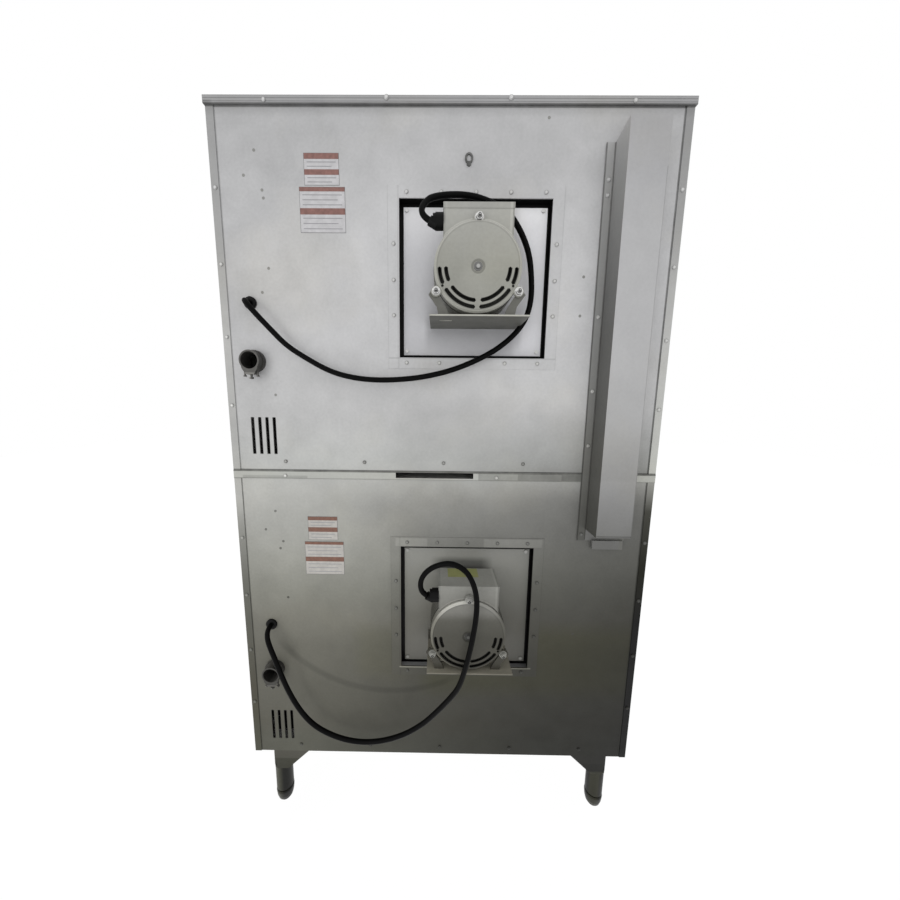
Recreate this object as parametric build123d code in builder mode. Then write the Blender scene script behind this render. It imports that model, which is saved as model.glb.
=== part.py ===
from build123d import *
import math
import os

# Double deck convection oven, electric, standing on four adjustable legs.
# Millimetres. +Z is up, the doors face -Y, the motor side faces +Y, and the
# origin is on the floor under the middle of the oven.
# "Depth" below means the distance into the oven from the plane of the rear
# strips, so a negative depth stands out behind the oven.

# ---------------------------------------------------------------- dimensions
half_w = 508.0          # half of the 1016 mm body width
rear_y = 426.5          # y of the rear strips' outer face
body_depth = 860.0      # front frame to rear strips
front_y = rear_y - body_depth
sheet = 1.5             # casing sheet
lower_base = 203.0      # underside of the lower deck, on 8 inch legs
lower_top = 973.0
upper_base = 993.0
upper_top = 1781.0      # the casing ends under the top cover
total_height = 1783.0
bases = (lower_base, upper_base)

# motor window in the rear panel, measured from each deck's base
win_x = -61.6
win_r = 433.3
win_w = 331.0
win_h = 333.0
screw_pitch = 74.7      # screws round the window frame
screw_row = 178.0

# motor
motor_x = -60.0
motor_r = 427.0
stator_r = 87.0
cover_r = 86.0
face_r = 82.0
shaft_r = 8.0
bolt_circle = 93.0

# oven cavity
cav_x0, cav_x1 = -430.0, 307.0
cav_r0, cav_r1 = 173.0, 681.0
baffle_depth = 225.0

# doors
door_r0, door_r1 = 133.0, 721.0
left_x0, left_x1 = -465.0, -63.5
right_x0, right_x1 = -59.5, 342.0
door_back = front_y - 4.0
door_front = front_y - 44.0
door_mid = front_y - 24.0
hinge_inset = 10.0
pin_r = 4.0
pin_hole_r = 4.05

# controls
ctrl_x = 430.0
fascia_front = front_y - 14.0
thermo_r, timer_r, rocker_r = 500.0, 345.0, 640.0
lamp_rs = (585.0, 425.0)

# rear fittings
bush_x, bush_r = 439.7, 382.6
gland_x, gland_r = 438.0, 255.0
vent_xs = (453.7, 436.6, 419.5, 402.4)
strip_screw_rs = (154.0, 308.5, 463.5, 617.5)
bottom_screw_xs = (-380.0, -190.0, 0.0, 190.0, 380.0)

# legs
leg_x = 453.5
leg_depth = 43.0
leg_r = 23.0

# motor cords
cord_r = 6.0

os.makedirs("parts", exist_ok=True)


# ------------------------------------------------------------------- helpers
def Y(depth):
    """World y at a depth into the oven."""
    return rear_y - depth


def rear(depth):
    """Sketch plane facing the rear at a depth; extruding goes into the oven."""
    return Plane.XZ.offset(-Y(depth))


def front(y):
    """Sketch plane at world y; extruding goes towards the door side."""
    return Plane.XZ.offset(-y)


def block(x0, x1, y0, y1, z0, z1, mode=Mode.ADD):
    """Rectangular block between two opposite corners."""
    with Locations(((x0 + x1) / 2, (y0 + y1) / 2, (z0 + z1) / 2)):
        Box(abs(x1 - x0), abs(y1 - y0), abs(z1 - z0), mode=mode)


def rod_y(x, z, r, y0, y1, mode=Mode.ADD):
    """Cylinder along Y."""
    with Locations(Plane(origin=(x, min(y0, y1), z), x_dir=(1, 0, 0), z_dir=(0, 1, 0))):
        Cylinder(r, abs(y1 - y0), align=(Align.CENTER, Align.CENTER, Align.MIN), mode=mode)


def rod_x(y, z, r, x0, x1, mode=Mode.ADD):
    """Cylinder along X."""
    with Locations(Plane(origin=(min(x0, x1), y, z), x_dir=(0, 1, 0), z_dir=(1, 0, 0))):
        Cylinder(r, abs(x1 - x0), align=(Align.CENTER, Align.CENTER, Align.MIN), mode=mode)


def rod_z(x, y, r, z0, z1, mode=Mode.ADD):
    """Cylinder along Z."""
    with Locations((x, y, min(z0, z1))):
        Cylinder(r, abs(z1 - z0), align=(Align.CENTER, Align.CENTER, Align.MIN), mode=mode)


def save(part, name):
    part.label = name
    export_step(part, f"parts/{name}.step")


# ================================================================= casing
# Top cover: a shallow lid whose rear lip stands out and is rolled in beads.
with BuildPart() as top_cover:
    block(-509.7, 509.7, front_y - 1.7, Y(0), 1767, total_height)
    with BuildSketch(Plane.YZ.offset(-509.7)) as lip:
        with BuildLine():
            Polyline(
                (Y(0), 1767), (Y(-3.2), 1767), (Y(-4), 1767.8), (Y(-4), 1770.2), (Y(-3.3), 1770.8),
                (Y(-4), 1771.4), (Y(-4), 1776.0), (Y(-3.3), 1776.6), (Y(-4), 1777.2), (Y(-4), 1782.0),
                (Y(-3), total_height), (Y(0), total_height), close=True,
            )
        make_face()
    extrude(amount=2 * 509.7)
    block(-508.2, 508.2, front_y - 0.2, Y(0), 1766, total_height - sheet, mode=Mode.SUBTRACT)
    block(-508.2, 508.2, Y(0) - 1, Y(-2.2), 1768.5, total_height - sheet, mode=Mode.SUBTRACT)
save(top_cover.part, "top_cover")

# Stacking trim: the 20 mm frame between the decks, with a slot in its rear lip.
with BuildPart() as stacking_trim:
    block(-half_w, half_w, front_y, rear_y, lower_top, upper_base)
    block(-half_w + sheet, half_w - sheet, front_y + sheet, rear_y - sheet, lower_top + sheet, upper_base - sheet, mode=Mode.SUBTRACT)
    block(-half_w + 18, half_w - 18, front_y + 18, rear_y - 18, lower_top - 1, lower_top + sheet + 1, mode=Mode.SUBTRACT)
    block(-72, 115, rear_y - 5, rear_y + 1, 976.8, 990.6, mode=Mode.SUBTRACT)
save(stacking_trim.part, "stacking_trim")

# Side panels: each is a sheet with a rear and a front flange, one pair per deck.
with BuildPart() as side_panels:
    for z0, z1 in ((lower_base, lower_top), (upper_base, upper_top)):
        for s in (1, -1):
            with BuildSketch(Plane.XY.offset(z0)) as outline:
                with BuildLine():
                    Polyline(
                        (s * half_w, front_y + 2), (s * half_w, rear_y), (s * 491, rear_y), (s * 491, rear_y - sheet),
                        (s * (half_w - sheet), rear_y - sheet), (s * (half_w - sheet), front_y + 2 + sheet),
                        (s * 493, front_y + 2 + sheet), (s * 493, front_y + 2), close=True,
                    )
                make_face()
                corner = outline.vertices().sort_by(Axis.X)[-2:] if s > 0 else outline.vertices().sort_by(Axis.X)[:2]
                fillet(corner, radius=1.2)
            extrude(amount=z1 - z0)
save(side_panels.part, "side_panels")


seam = 0.02             # between the flat strips that a sheet with a window is laid out in


def sheet_ring(xc, zc, w, h, w_in, h_in, d0, d1):
    """Rectangular sheet ring laid out as four flat strips."""
    for x0, x1 in ((xc - w / 2, xc - w_in / 2), (xc + w_in / 2, xc + w / 2)):
        block(x0, x1, Y(d0), Y(d1), zc - h / 2, zc + h / 2)
    for z0, z1 in ((zc - h / 2, zc - h_in / 2), (zc + h_in / 2, zc + h / 2)):
        block(xc - w_in / 2 + seam, xc + w_in / 2 - seam, Y(d0), Y(d1), z0, z1)


def rear_panel(base, top, port):
    """Rear panel sheet between the strips, laid out flat round its openings."""
    x0, x1 = win_x - win_w / 2, win_x + win_w / 2
    z0, z1 = base + win_r - win_h / 2, base + win_r + win_h / 2
    # the side with the bushing, the cable inlet and the vents
    with BuildSketch(rear(1.5)) as face:
        with Locations(((x1 + 505) / 2, (base + top) / 2)):
            Rectangle(505 - x1, top - base)
        with Locations((bush_x, base + bush_r)):
            Circle(11.2, mode=Mode.SUBTRACT)
        with Locations((gland_x, base + gland_r)):
            Circle(21.0, mode=Mode.SUBTRACT)
        with Locations(*[(x, base + 83) for x in vent_xs]):
            SlotOverall(88, 6.5, rotation=90, mode=Mode.SUBTRACT)
    extrude(to_extrude=face.sketch, amount=sheet)
    # above and below the window
    block(x0 + seam, x1 - seam, Y(1.5), Y(3.0), z1, top)
    block(x0 + seam, x1 - seam, Y(1.5), Y(3.0), base, z0)
    # the other side, with the exhaust port in the lower deck
    if port:
        px0, px1, pz0, pz1 = -419.0, -361.0, base + 664.5, base + 749.5
        block(px1, x0, Y(1.5), Y(3.0), base, top)
        block(-505, px0, Y(1.5), Y(3.0), base, top)
        block(px0 + seam, px1 - seam, Y(1.5), Y(3.0), pz1, top)
        block(px0 + seam, px1 - seam, Y(1.5), Y(3.0), base, pz0)
    else:
        block(-505, x0, Y(1.5), Y(3.0), base, top)


with BuildPart() as upper_back_panel:
    rear_panel(upper_base, upper_top, False)
save(upper_back_panel.part, "upper_back_panel")

with BuildPart() as lower_back_panel:
    rear_panel(lower_base, lower_top, True)
save(lower_back_panel.part, "lower_back_panel")

# Base pans, the lower deck's top sheet and the dividers of the control compartments.
with BuildPart() as deck_inner_sheets:
    for base, top in ((lower_base, lower_top), (upper_base, upper_top)):
        block(-506.3, 506.3, front_y + 4, Y(3.2), base, base + 1.5)
        block(-506.3, 506.3, Y(4.7), Y(3.2), base, base + 15)
        block(-506.3, 506.3, front_y + 4, front_y + 5.5, base, base + 15)
        block(346, 347.5, front_y + 7, Y(6.2), base + 1.7, top - 2.0)
    block(-506.3, 506.3, front_y + 4, Y(3.2), lower_top - 1.5, lower_top - 0.1)
save(deck_inner_sheets.part, "deck_inner_sheets")

# Front frames: one plate per deck, open at the cavity and at the controls.
with BuildPart() as front_frames:
    for base, top in ((lower_base, lower_top), (upper_base, upper_top)):
        with BuildSketch(front(front_y + 2)):
            with Locations((0, (base + top) / 2)):
                Rectangle(2 * half_w, top - base)
            with Locations(((cav_x0 + cav_x1) / 2, base + (cav_r0 + cav_r1) / 2)):
                Rectangle(cav_x1 - cav_x0, cav_r1 - cav_r0, mode=Mode.SUBTRACT)
            with Locations((430, base + 427.5)):
                Rectangle(140, 555, mode=Mode.SUBTRACT)
        extrude(amount=2)
save(front_frames.part, "front_frames")


# ============================================================ cavity, inside
def liner(base):
    """Cavity liner: a five-sided box with a front flange and rear wall holes."""
    block(cav_x0 - 2, cav_x1 + 2, front_y + 2, Y(88), base + cav_r0 - 2, base + cav_r1 + 2)
    block(cav_x0 - 14, cav_x1 + 12, front_y + 2, front_y + 4, base + cav_r0 - 14, base + cav_r1 + 14)
    block(cav_x0, cav_x1, front_y + 1, Y(90), base + cav_r0, base + cav_r1, mode=Mode.SUBTRACT)
    rod_y(motor_x, base + motor_r, 30, Y(92), Y(80), mode=Mode.SUBTRACT)
    for dx, dz in ((-25, -160), (25, -148)):
        rod_y(motor_x + dx, base + motor_r + dz, 7, Y(92), Y(80), mode=Mode.SUBTRACT)


with BuildPart() as upper_cavity_liner:
    liner(upper_base)
save(upper_cavity_liner.part, "upper_cavity_liner")

with BuildPart() as lower_cavity_liner:
    liner(lower_base)
save(lower_cavity_liner.part, "lower_cavity_liner")

# Insulation: slabs round each cavity and the block behind each motor plate.
with BuildPart() as insulation_blankets:
    for base in bases:
        block(-505, 345, Y(86), Y(30), base + 120, base + 735)
        rod_y(motor_x, base + motor_r, 30, Y(90), Y(28), mode=Mode.SUBTRACT)
        for dx, dz in ((-25, -160), (25, -148)):
            rod_y(motor_x + dx, base + motor_r + dz, 8, Y(90), Y(28), mode=Mode.SUBTRACT)
        block(-505, -446, front_y + 6, Y(88), base + 120, base + 735)
        block(321, 345, front_y + 6, Y(88), base + 120, base + 735)
        block(-444, 319, front_y + 6, Y(88), base + 697, base + 735)
        block(-444, 319, front_y + 6, Y(88), base + 120, base + 157)
        block(win_x - 140, win_x + 140, Y(25.8), Y(19.2), base + win_r - 140, base + win_r + 140)
        rod_y(motor_x, base + motor_r, 25, Y(28), Y(18), mode=Mode.SUBTRACT)
save(insulation_blankets.part, "insulation_blankets")

# Air baffles: a plate on four stand-offs in front of each blower, round inlet.
with BuildPart() as fan_baffles:
    for base in bases:
        block(-405, 282, Y(baffle_depth + 1.5), Y(baffle_depth), base + 195, base + 660)
        rod_y(motor_x, base + motor_r, 95, Y(baffle_depth + 5), Y(baffle_depth - 5), mode=Mode.SUBTRACT)
        for x in (-385, 262):
            for r in (215, 640):
                rod_y(x, base + r, 6, Y(baffle_depth), Y(90.0))
save(fan_baffles.part, "fan_baffles")

# Heating elements: two rings round each blower, with leads through the rear wall.
with BuildPart() as heating_elements:
    for base in bases:
        for d, ring, dx, dz in ((140, 162, -25, -160), (165, 150, 25, -148)):
            with Locations(Plane(origin=(motor_x, Y(d), base + motor_r), x_dir=(1, 0, 0), z_dir=(0, 1, 0))):
                Torus(ring, 5)
            rod_y(motor_x + dx, base + motor_r + dz, 5, Y(d), Y(62))
save(heating_elements.part, "heating_elements")

# Rack guides: two uprights with five ledges on each side wall of each cavity.
ledge_rs = (230, 310, 390, 470, 550)
with BuildPart() as rack_guides:
    for base in bases:
        for x0, x1, t0, t1 in ((-429.8, -427.3, -427.28, -414.0), (304.3, 306.8, 291.0, 304.28)):
            for y0 in (front_y + 70, Y(baffle_depth + 90)):
                block(x0, x1, y0, y0 + 20, base + 195, base + 590)
            for r in ledge_rs:
                block(t0, t1, front_y + 45, Y(baffle_depth + 30), base + r - 2, base + r)
save(rack_guides.part, "rack_guides")


def rack(base, r):
    """Wire rack that lies on the ledges at height r."""
    z = base + r + 3.3
    x0, x1 = -421.0, 298.0
    y0, y1 = front_y + 40, Y(baffle_depth + 28)
    for y in (y0, y0 + (y1 - y0) / 3, y0 + 2 * (y1 - y0) / 3, y1):
        rod_x(y, z, 3, x0, x1)
    for x in (x0, x1):
        rod_y(x, z, 3, y0, y1)
        for y in (y0, y1):
            with Locations((x, y, z)):
                Sphere(3.0)
    n = 24
    for i in range(1, n):
        rod_y(x0 + (x1 - x0) * i / n, z + 3.5, 2, y0 - 1.5, y1 + 1.5)


with BuildPart() as upper_top_rack:
    rack(upper_base, 470)
save(upper_top_rack.part, "upper_top_rack")
with BuildPart() as upper_bottom_rack:
    rack(upper_base, 310)
save(upper_bottom_rack.part, "upper_bottom_rack")
with BuildPart() as lower_top_rack:
    rack(lower_base, 470)
save(lower_top_rack.part, "lower_top_rack")
with BuildPart() as lower_bottom_rack:
    rack(lower_base, 310)
save(lower_bottom_rack.part, "lower_bottom_rack")


def blower(base):
    """Centrifugal wheel on its shaft; the shaft's tail runs in the motor."""
    z = base + motor_r
    rod_y(motor_x, z, shaft_r, Y(130), Y(-14))
    rod_y(motor_x, z, 20, Y(150), Y(112))
    rod_y(motor_x, z, 120, Y(114), Y(112))
    rod_y(motor_x, z, 120, Y(190), Y(188))
    rod_y(motor_x, z, 97, Y(192), Y(186), mode=Mode.SUBTRACT)
    with BuildSketch(rear(113)) as blades:
        with Locations((motor_x, z)):
            with PolarLocations(108, 24):
                Rectangle(22, 1.6, rotation=18)
    extrude(to_extrude=blades.sketch, amount=76)


with BuildPart() as upper_blower_wheel:
    blower(upper_base)
save(upper_blower_wheel.part, "upper_blower_wheel")
with BuildPart() as lower_blower_wheel:
    blower(lower_base)
save(lower_blower_wheel.part, "lower_blower_wheel")

# ================================================================= motors
# Stator shells with their front bells, which bolt on to the motor plates.
with BuildPart() as motor_housings:
    for base in bases:
        z = base + motor_r
        rod_y(motor_x, z, stator_r, Y(-8), Y(-67))
        rod_y(motor_x, z, 72, Y(10), Y(-8))
        rod_y(motor_x, z, 80, Y(16), Y(10))
        rod_y(motor_x, z, shaft_r + 0.05, Y(17), Y(-16), mode=Mode.SUBTRACT)
        for d in (-19, -31, -43, -55):
            rod_y(motor_x, z, stator_r + 1, Y(d), Y(d - 1.5), mode=Mode.SUBTRACT)
            rod_y(motor_x, z, stator_r - 1.5, Y(d + 1), Y(d - 2.5))
save(motor_housings.part, "motor_housings")


def arc_slot(z, radius, a0, a1, width):
    """Curved vent slot cut through the end cover's face, angles in degrees."""
    def at(r, a):
        return (motor_x + r * math.cos(math.radians(a)), z + r * math.sin(math.radians(a)))

    r0, r1 = radius - width / 2, radius + width / 2
    with BuildSketch(rear(-95)) as slot:
        with BuildLine():
            CenterArc((motor_x, z), r1, a0, a1 - a0)
            Line(at(r1, a1), at(r0, a1))
            CenterArc((motor_x, z), r0, a1, a0 - a1)
            Line(at(r0, a0), at(r1, a0))
        make_face()
        with Locations(at(radius, a0), at(radius, a1)):
            Circle(width / 2)
    extrude(to_extrude=slot.sketch, amount=10, mode=Mode.SUBTRACT)


# End covers: pressed dishes with two rings of slots and three bolt lugs.
with BuildPart() as motor_end_covers:
    for base in bases:
        z = base + motor_r
        rod_y(motor_x, z, cover_r, Y(-67), Y(-88))
        with Locations(Plane(origin=(motor_x, Y(-88), z), x_dir=(1, 0, 0), z_dir=(0, 1, 0))):
            Cone(cover_r, face_r, 4.35, align=(Align.CENTER, Align.CENTER, Align.MIN))
        for a, r in ((90, 89), (209, bolt_circle), (331, bolt_circle)):
            rod_y(motor_x + r * math.cos(math.radians(a)), z + r * math.sin(math.radians(a)), 10, Y(-84.5), Y(-89))
        rod_y(motor_x, z, cover_r - 2.0, Y(-67), Y(-88), mode=Mode.SUBTRACT)
        rod_y(motor_x, z, cover_r - 6.0, Y(-87), Y(-90), mode=Mode.SUBTRACT)
        rod_y(motor_x, z, 12, Y(-90), Y(-80))
        for lo, hi in ((182.7, 204), (336, 357.3)):
            arc_slot(z, 75, lo, hi, 5.2)
            arc_slot(z, 62.5, lo, hi, 5.2)
        for lo, hi in ((214.5, 265), (275, 325.5)):
            arc_slot(z, 75, lo, hi, 5.2)
            arc_slot(z, 62.5, lo + 3, hi - 3, 5.2) if lo < 240 else arc_slot(z, 62.5, lo, hi - 3, 5.2)
        for dx in (-69, 69):
            rod_y(motor_x + dx, z - 35.8, 2.6, Y(-85), Y(-95), mode=Mode.SUBTRACT)
        rod_y(motor_x, z, 10.5, Y(-91.6), Y(-95), mode=Mode.SUBTRACT)
save(motor_end_covers.part, "motor_end_covers")

# Terminal boxes: folded covers over the stators, each with an overlapping lid.
with BuildPart() as motor_terminal_boxes:
    for base in bases:
        z = base + motor_r
        block(-128, 8, Y(-3), Y(-83.3), base + 470, base + 545.4)
        block(-128.8, 8.8, Y(-2.2), Y(-84.1), base + 534.6, base + 545.4)
        block(-126.5, 6.5, Y(-4.5), Y(-81.8), base + 460, base + 543.9, mode=Mode.SUBTRACT)
        rod_y(motor_x, z, stator_r, Y(0), Y(-90), mode=Mode.SUBTRACT)
        block(-140, 20, Y(0), Y(-90), base + 469, base + 480, mode=Mode.SUBTRACT)
save(motor_terminal_boxes.part, "motor_terminal_boxes")

# Mounting brackets: a shelf with an upturned flange and tabs on the motor plate,
# and two cradle straps that hold the end cover's lower bolts.
with BuildPart() as motor_mount_brackets:
    for base in bases:
        z = base + motor_r
        block(-164, 34, Y(16), Y(-96), base + 334, base + 337)
        block(-164, 34, Y(16), Y(13), base + 334, base + 346)
        for x0, x1 in ((-164, -152), (22, 34)):
            block(x0, x1, Y(16), Y(13), base + 337, base + 365)
        block(-12, 14, Y(-56), Y(-62), base + 333, base + 338, mode=Mode.SUBTRACT)
        for s in (1, -1):
            with BuildSketch(rear(-83.6)) as strap:
                with BuildLine():
                    Polyline(
                        (motor_x + s * 88, z - 36), (motor_x + s * 96, z - 50), (motor_x + s * 80, z - 72),
                        (motor_x + s * 76, z - 90.5), (motor_x + s * 54, z - 90.5), (motor_x + s * 60, z - 76),
                        (motor_x + s * 71, z - 58), close=True,
                    )
                make_face()
            extrude(to_extrude=strap.sketch, amount=4)
save(motor_mount_brackets.part, "motor_mount_brackets")

# Motor plates at the bottom of each window.
with BuildPart() as motor_plates:
    for base in bases:
        with BuildSketch(rear(16)):
            with Locations((-62.8, base + 431.8)):
                Rectangle(316.3, 315)
            with Locations((motor_x, base + motor_r)):
                Circle(20, mode=Mode.SUBTRACT)
        extrude(amount=3)
save(motor_plates.part, "motor_plates")

# Window frames: a doubler ring on the panel, and the tray behind it with its
# flange, walls and floor laid out as flat strips.
with BuildPart() as motor_recess_frames:
    for base in bases:
        x, z = win_x, base + win_r
        sheet_ring(x, z, 380, 382, win_w, win_h, 0.3, 1.5)
        sheet_ring(x, z, 374, 374, 333, 335, 3.0, 4.2)
        sheet_ring(x, z, 335.4, 337.4, 333, 335, 4.2 + seam, 26.0 - seam)
        block(x - 167.7, x + 167.7, Y(27.5), Y(26.0), z - 168.7, z + 168.7)
        rod_y(motor_x, base + motor_r, 25, Y(30), Y(20), mode=Mode.SUBTRACT)
save(motor_recess_frames.part, "motor_recess_frames")

# Motor fasteners: through bolts with acorn nuts, centre screws, plate spacers.
with BuildPart() as motor_fasteners:
    for base in bases:
        z = base + motor_r
        for a, r, nut in ((90, 89, 9.0), (209, bolt_circle, 7.0), (331, bolt_circle, 7.0)):
            x, zz = motor_x + r * math.cos(math.radians(a)), z + r * math.sin(math.radians(a))
            rod_y(x, zz, 8.5, Y(-89), Y(-90.2))
            with BuildSketch(rear(-89.5)) as hexagon:
                with Locations((x, zz)):
                    RegularPolygon(7.0, 6)
            extrude(to_extrude=hexagon.sketch, amount=-6)
            with Locations((x, Y(-95.0), zz)):
                Sphere(5.0)
            if a == 90:
                rod_y(x, zz, 3.2, Y(-84.4), Y(-90))
            else:
                rod_y(x, zz, 3.2, Y(-76), Y(-90))
        rod_y(motor_x, z, 8.6, Y(-91.6), Y(-92.6))
        rod_y(motor_x, z, 5.0, Y(-92.6), Y(-94.6))
        for x in (10, -125):
            with Locations((x, Y(-74), base + 337)):
                Cylinder(4.0, 12, align=(Align.CENTER, Align.CENTER, Align.MIN))
                Cylinder(7.0, 4, align=(Align.CENTER, Align.CENTER, Align.MIN))
        for dx in (-150, 150):
            for dz in (-150, 150):
                rod_y(win_x + dx, base + win_r + dz, 5, Y(26.0), Y(19.0))
                rod_y(win_x + dx, base + win_r + dz, 4.2, Y(16.0), Y(13.8))
save(motor_fasteners.part, "motor_fasteners")

# ========================================================= cords and fittings
# Each cord leaves the terminal box's connector and goes back in through the
# bushing; the points are x, depth and height above the deck's base.
upper_route = [
    (35.0, -74.5, 516.5), (46.5, -74.5, 523.0), (52.5, -71.5, 538.0), (45.5, -64.0, 554.5),
    (31.5, -55.5, 570.0), (-13.0, -33.5, 587.5), (-57.5, -16.0, 594.5), (-103.5, -8.0, 583.5),
    (-130.5, -8.0, 568.5), (-149.0, -9.0, 544.0), (-165.0, -10.0, 516.5), (-178.5, -11.0, 482.0),
    (-184.5, -12.0, 441.5), (-187.5, -12.0, 397.0), (-180.5, -13.0, 358.0), (-164.0, -14.5, 328.0),
    (-129.5, -19.0, 294.0), (-84.5, -22.0, 265.5), (-20.0, -24.5, 237.5), (43.5, -24.0, 222.0),
    (96.5, -23.0, 215.5), (148.0, -22.0, 213.5), (200.0, -21.0, 217.0), (256.5, -20.0, 230.5),
    (313.5, -20.0, 261.5), (354.5, -21.0, 288.0), (383.0, -25.5, 319.0), (407.0, -31.0, 346.0),
    (424.0, -35.0, 366.5), (435.5, -30.5, 379.5), (439.7, -17.5, 382.6), (439.7, -4.0, 382.6),
]
lower_route = [
    (35.0, -74.5, 516.5), (46.0, -76.0, 523.0), (51.5, -78.5, 545.5), (44.5, -84.0, 571.0),
    (25.5, -90.0, 592.5), (2.5, -97.0, 605.0), (-19.5, -103.0, 610.0), (-41.5, -108.5, 602.5),
    (-57.5, -111.0, 586.5), (-69.5, -113.5, 559.0), (-75.0, -113.0, 528.0), (-74.0, -113.0, 489.5),
    (-69.0, -113.0, 448.0), (-62.5, -112.0, 407.0), (-54.0, -111.0, 365.5), (-41.5, -102.0, 307.5),
    (-23.0, -92.5, 269.5), (6.0, -79.0, 220.0), (44.5, -66.0, 165.0), (100.5, -53.5, 115.5),
    (165.5, -44.5, 86.5), (225.5, -38.5, 80.0), (279.5, -35.5, 93.0), (328.0, -35.0, 122.0),
    (361.5, -34.5, 164.0), (386.5, -37.0, 220.0), (402.5, -40.0, 273.0), (417.0, -39.5, 320.0),
    (427.5, -38.5, 350.0), (435.5, -33.0, 369.5), (439.7, -20.0, 382.6), (439.7, -4.0, 382.6),
]


def cord(route, base, name):
    """Round cord along straight runs joined by tangent arcs; prints its sizes."""
    pts = [Vector(x, Y(d), base + r) for x, d, r in route]
    radii = []
    for a, b, c in zip(pts, pts[1:], pts[2:]):
        turn = math.radians((b - a).get_angle(c - b))
        radii.append(0.45 * min((b - a).length, (c - b).length) / math.tan(turn / 2))
    print(name, "radii", [round(r) for r in radii])
    with BuildLine() as path:
        FilletPolyline(*pts, radius=radii)
    with BuildSketch(Plane(origin=pts[0], z_dir=pts[1] - pts[0])) as section:
        Circle(cord_r)
    sweep(sections=section.sketch, path=path.wire())
    length = path.wire().length
    print(name, "length", round(length, 1), "section x length", round(math.pi * cord_r ** 2 * length))


with BuildPart() as upper_motor_cord:
    cord(upper_route, upper_base, "upper_motor_cord")
print("volume", round(upper_motor_cord.part.volume))
save(upper_motor_cord.part, "upper_motor_cord")

with BuildPart() as lower_motor_cord:
    cord(lower_route, lower_base, "lower_motor_cord")
print("volume", round(lower_motor_cord.part.volume))
save(lower_motor_cord.part, "lower_motor_cord")

# Cord connectors on the terminal boxes, and bushings in the rear panels.
with BuildPart() as cord_fittings:
    for base, route in ((lower_base, lower_route), (upper_base, upper_route)):
        z = base + 516.4
        rod_x(Y(-71.5), z, 15.5, 8.0, 24.0)
        rod_x(Y(-72.5), z, 13.5, 24.0, 29.0)
        p0 = Vector(route[0][0], Y(route[0][1]), base + route[0][2])
        p1 = Vector(route[1][0], Y(route[1][1]), base + route[1][2])
        back = (p0 - p1).normalized()
        with Locations(Plane(origin=p0, z_dir=back)):
            Cylinder(9.5, 17, align=(Align.CENTER, Align.CENTER, Align.MIN))
        block(-2, 8.0, Y(-60), Y(-90), base + 490, base + 545, mode=Mode.SUBTRACT)
        rod_y(bush_x, base + bush_r, 14.0, Y(1.5), Y(-2.0))
        with Locations(Plane(origin=(bush_x, Y(-2.0), base + bush_r), x_dir=(1, 0, 0), z_dir=(0, 1, 0))):
            Cone(12.5, 9.5, 2.0, align=(Align.CENTER, Align.CENTER, Align.MIN))
        rod_y(bush_x, base + bush_r, 11.0, Y(9), Y(1.5))
save(cord_fittings.part, "cord_fittings")

# Supply cable glands: open clamp connectors with a saddle and three screws.
with BuildPart() as supply_cable_glands:
    for base in bases:
        z = base + gland_r
        rod_y(gland_x, z, 22.5, Y(1.5), Y(-25))
        rod_y(gland_x, z, 25.0, Y(1.5), Y(-6))
        with BuildSketch(rear(-25)) as saddle:
            with BuildLine():
                Polyline(
                    (gland_x - 20, z - 4), (gland_x - 17.5, z - 18), (gland_x - 9.5, z - 31), (gland_x + 9.5, z - 31),
                    (gland_x + 17.5, z - 18), (gland_x + 20, z - 4), close=True,
                )
            make_face()
        extrude(to_extrude=saddle.sketch, amount=15)
        rod_y(gland_x, z, 20.6, Y(14), Y(1.5))
        with BuildSketch(rear(3.1)) as nut:
            with Locations((gland_x, z)):
                RegularPolygon(30, 6)
        extrude(to_extrude=nut.sketch, amount=5)
        rod_y(gland_x, z, 19.0, Y(15), Y(-26), mode=Mode.SUBTRACT)
        for dx in (-14.5, 14.5):
            rod_z(gland_x + dx, Y(-18), 2.0, z - 33, z - 20)
            rod_z(gland_x + dx, Y(-18), 3.6, z - 36, z - 33)
        rod_z(gland_x, Y(-18), 2.6, z - 37, z - 28)
        rod_z(gland_x, Y(-18), 4.6, z - 41, z - 37)
save(supply_cable_glands.part, "supply_cable_glands")

# Flue duct: a three-sided channel on the rear, with side flanges and a foot.
with BuildPart() as flue_duct:
    with BuildSketch(Plane.YZ.offset(-430.8)) as side:
        with BuildLine():
            Polyline((Y(-0.2), 854.6), (Y(-53.5), 854.6), (Y(-53.5), 1710.9), (Y(-0.2), 1699.0), close=True)
        make_face()
    extrude(amount=80.5)
    block(-429.5, -351.6, Y(0), Y(-52.2), 855.9, 1720, mode=Mode.SUBTRACT)
    block(-350.4, -331, Y(-0.2), Y(-1.4), 826, 1699)
    block(-446, -430.7, Y(-0.2), Y(-1.4), 826, 1699)
    block(-446, -350.4, Y(-0.2), Y(-1.4), 826, 856)
    block(-440, -366, Y(-0.2), Y(-8.0), 806, 828)
save(flue_duct.part, "flue_duct")


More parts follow.
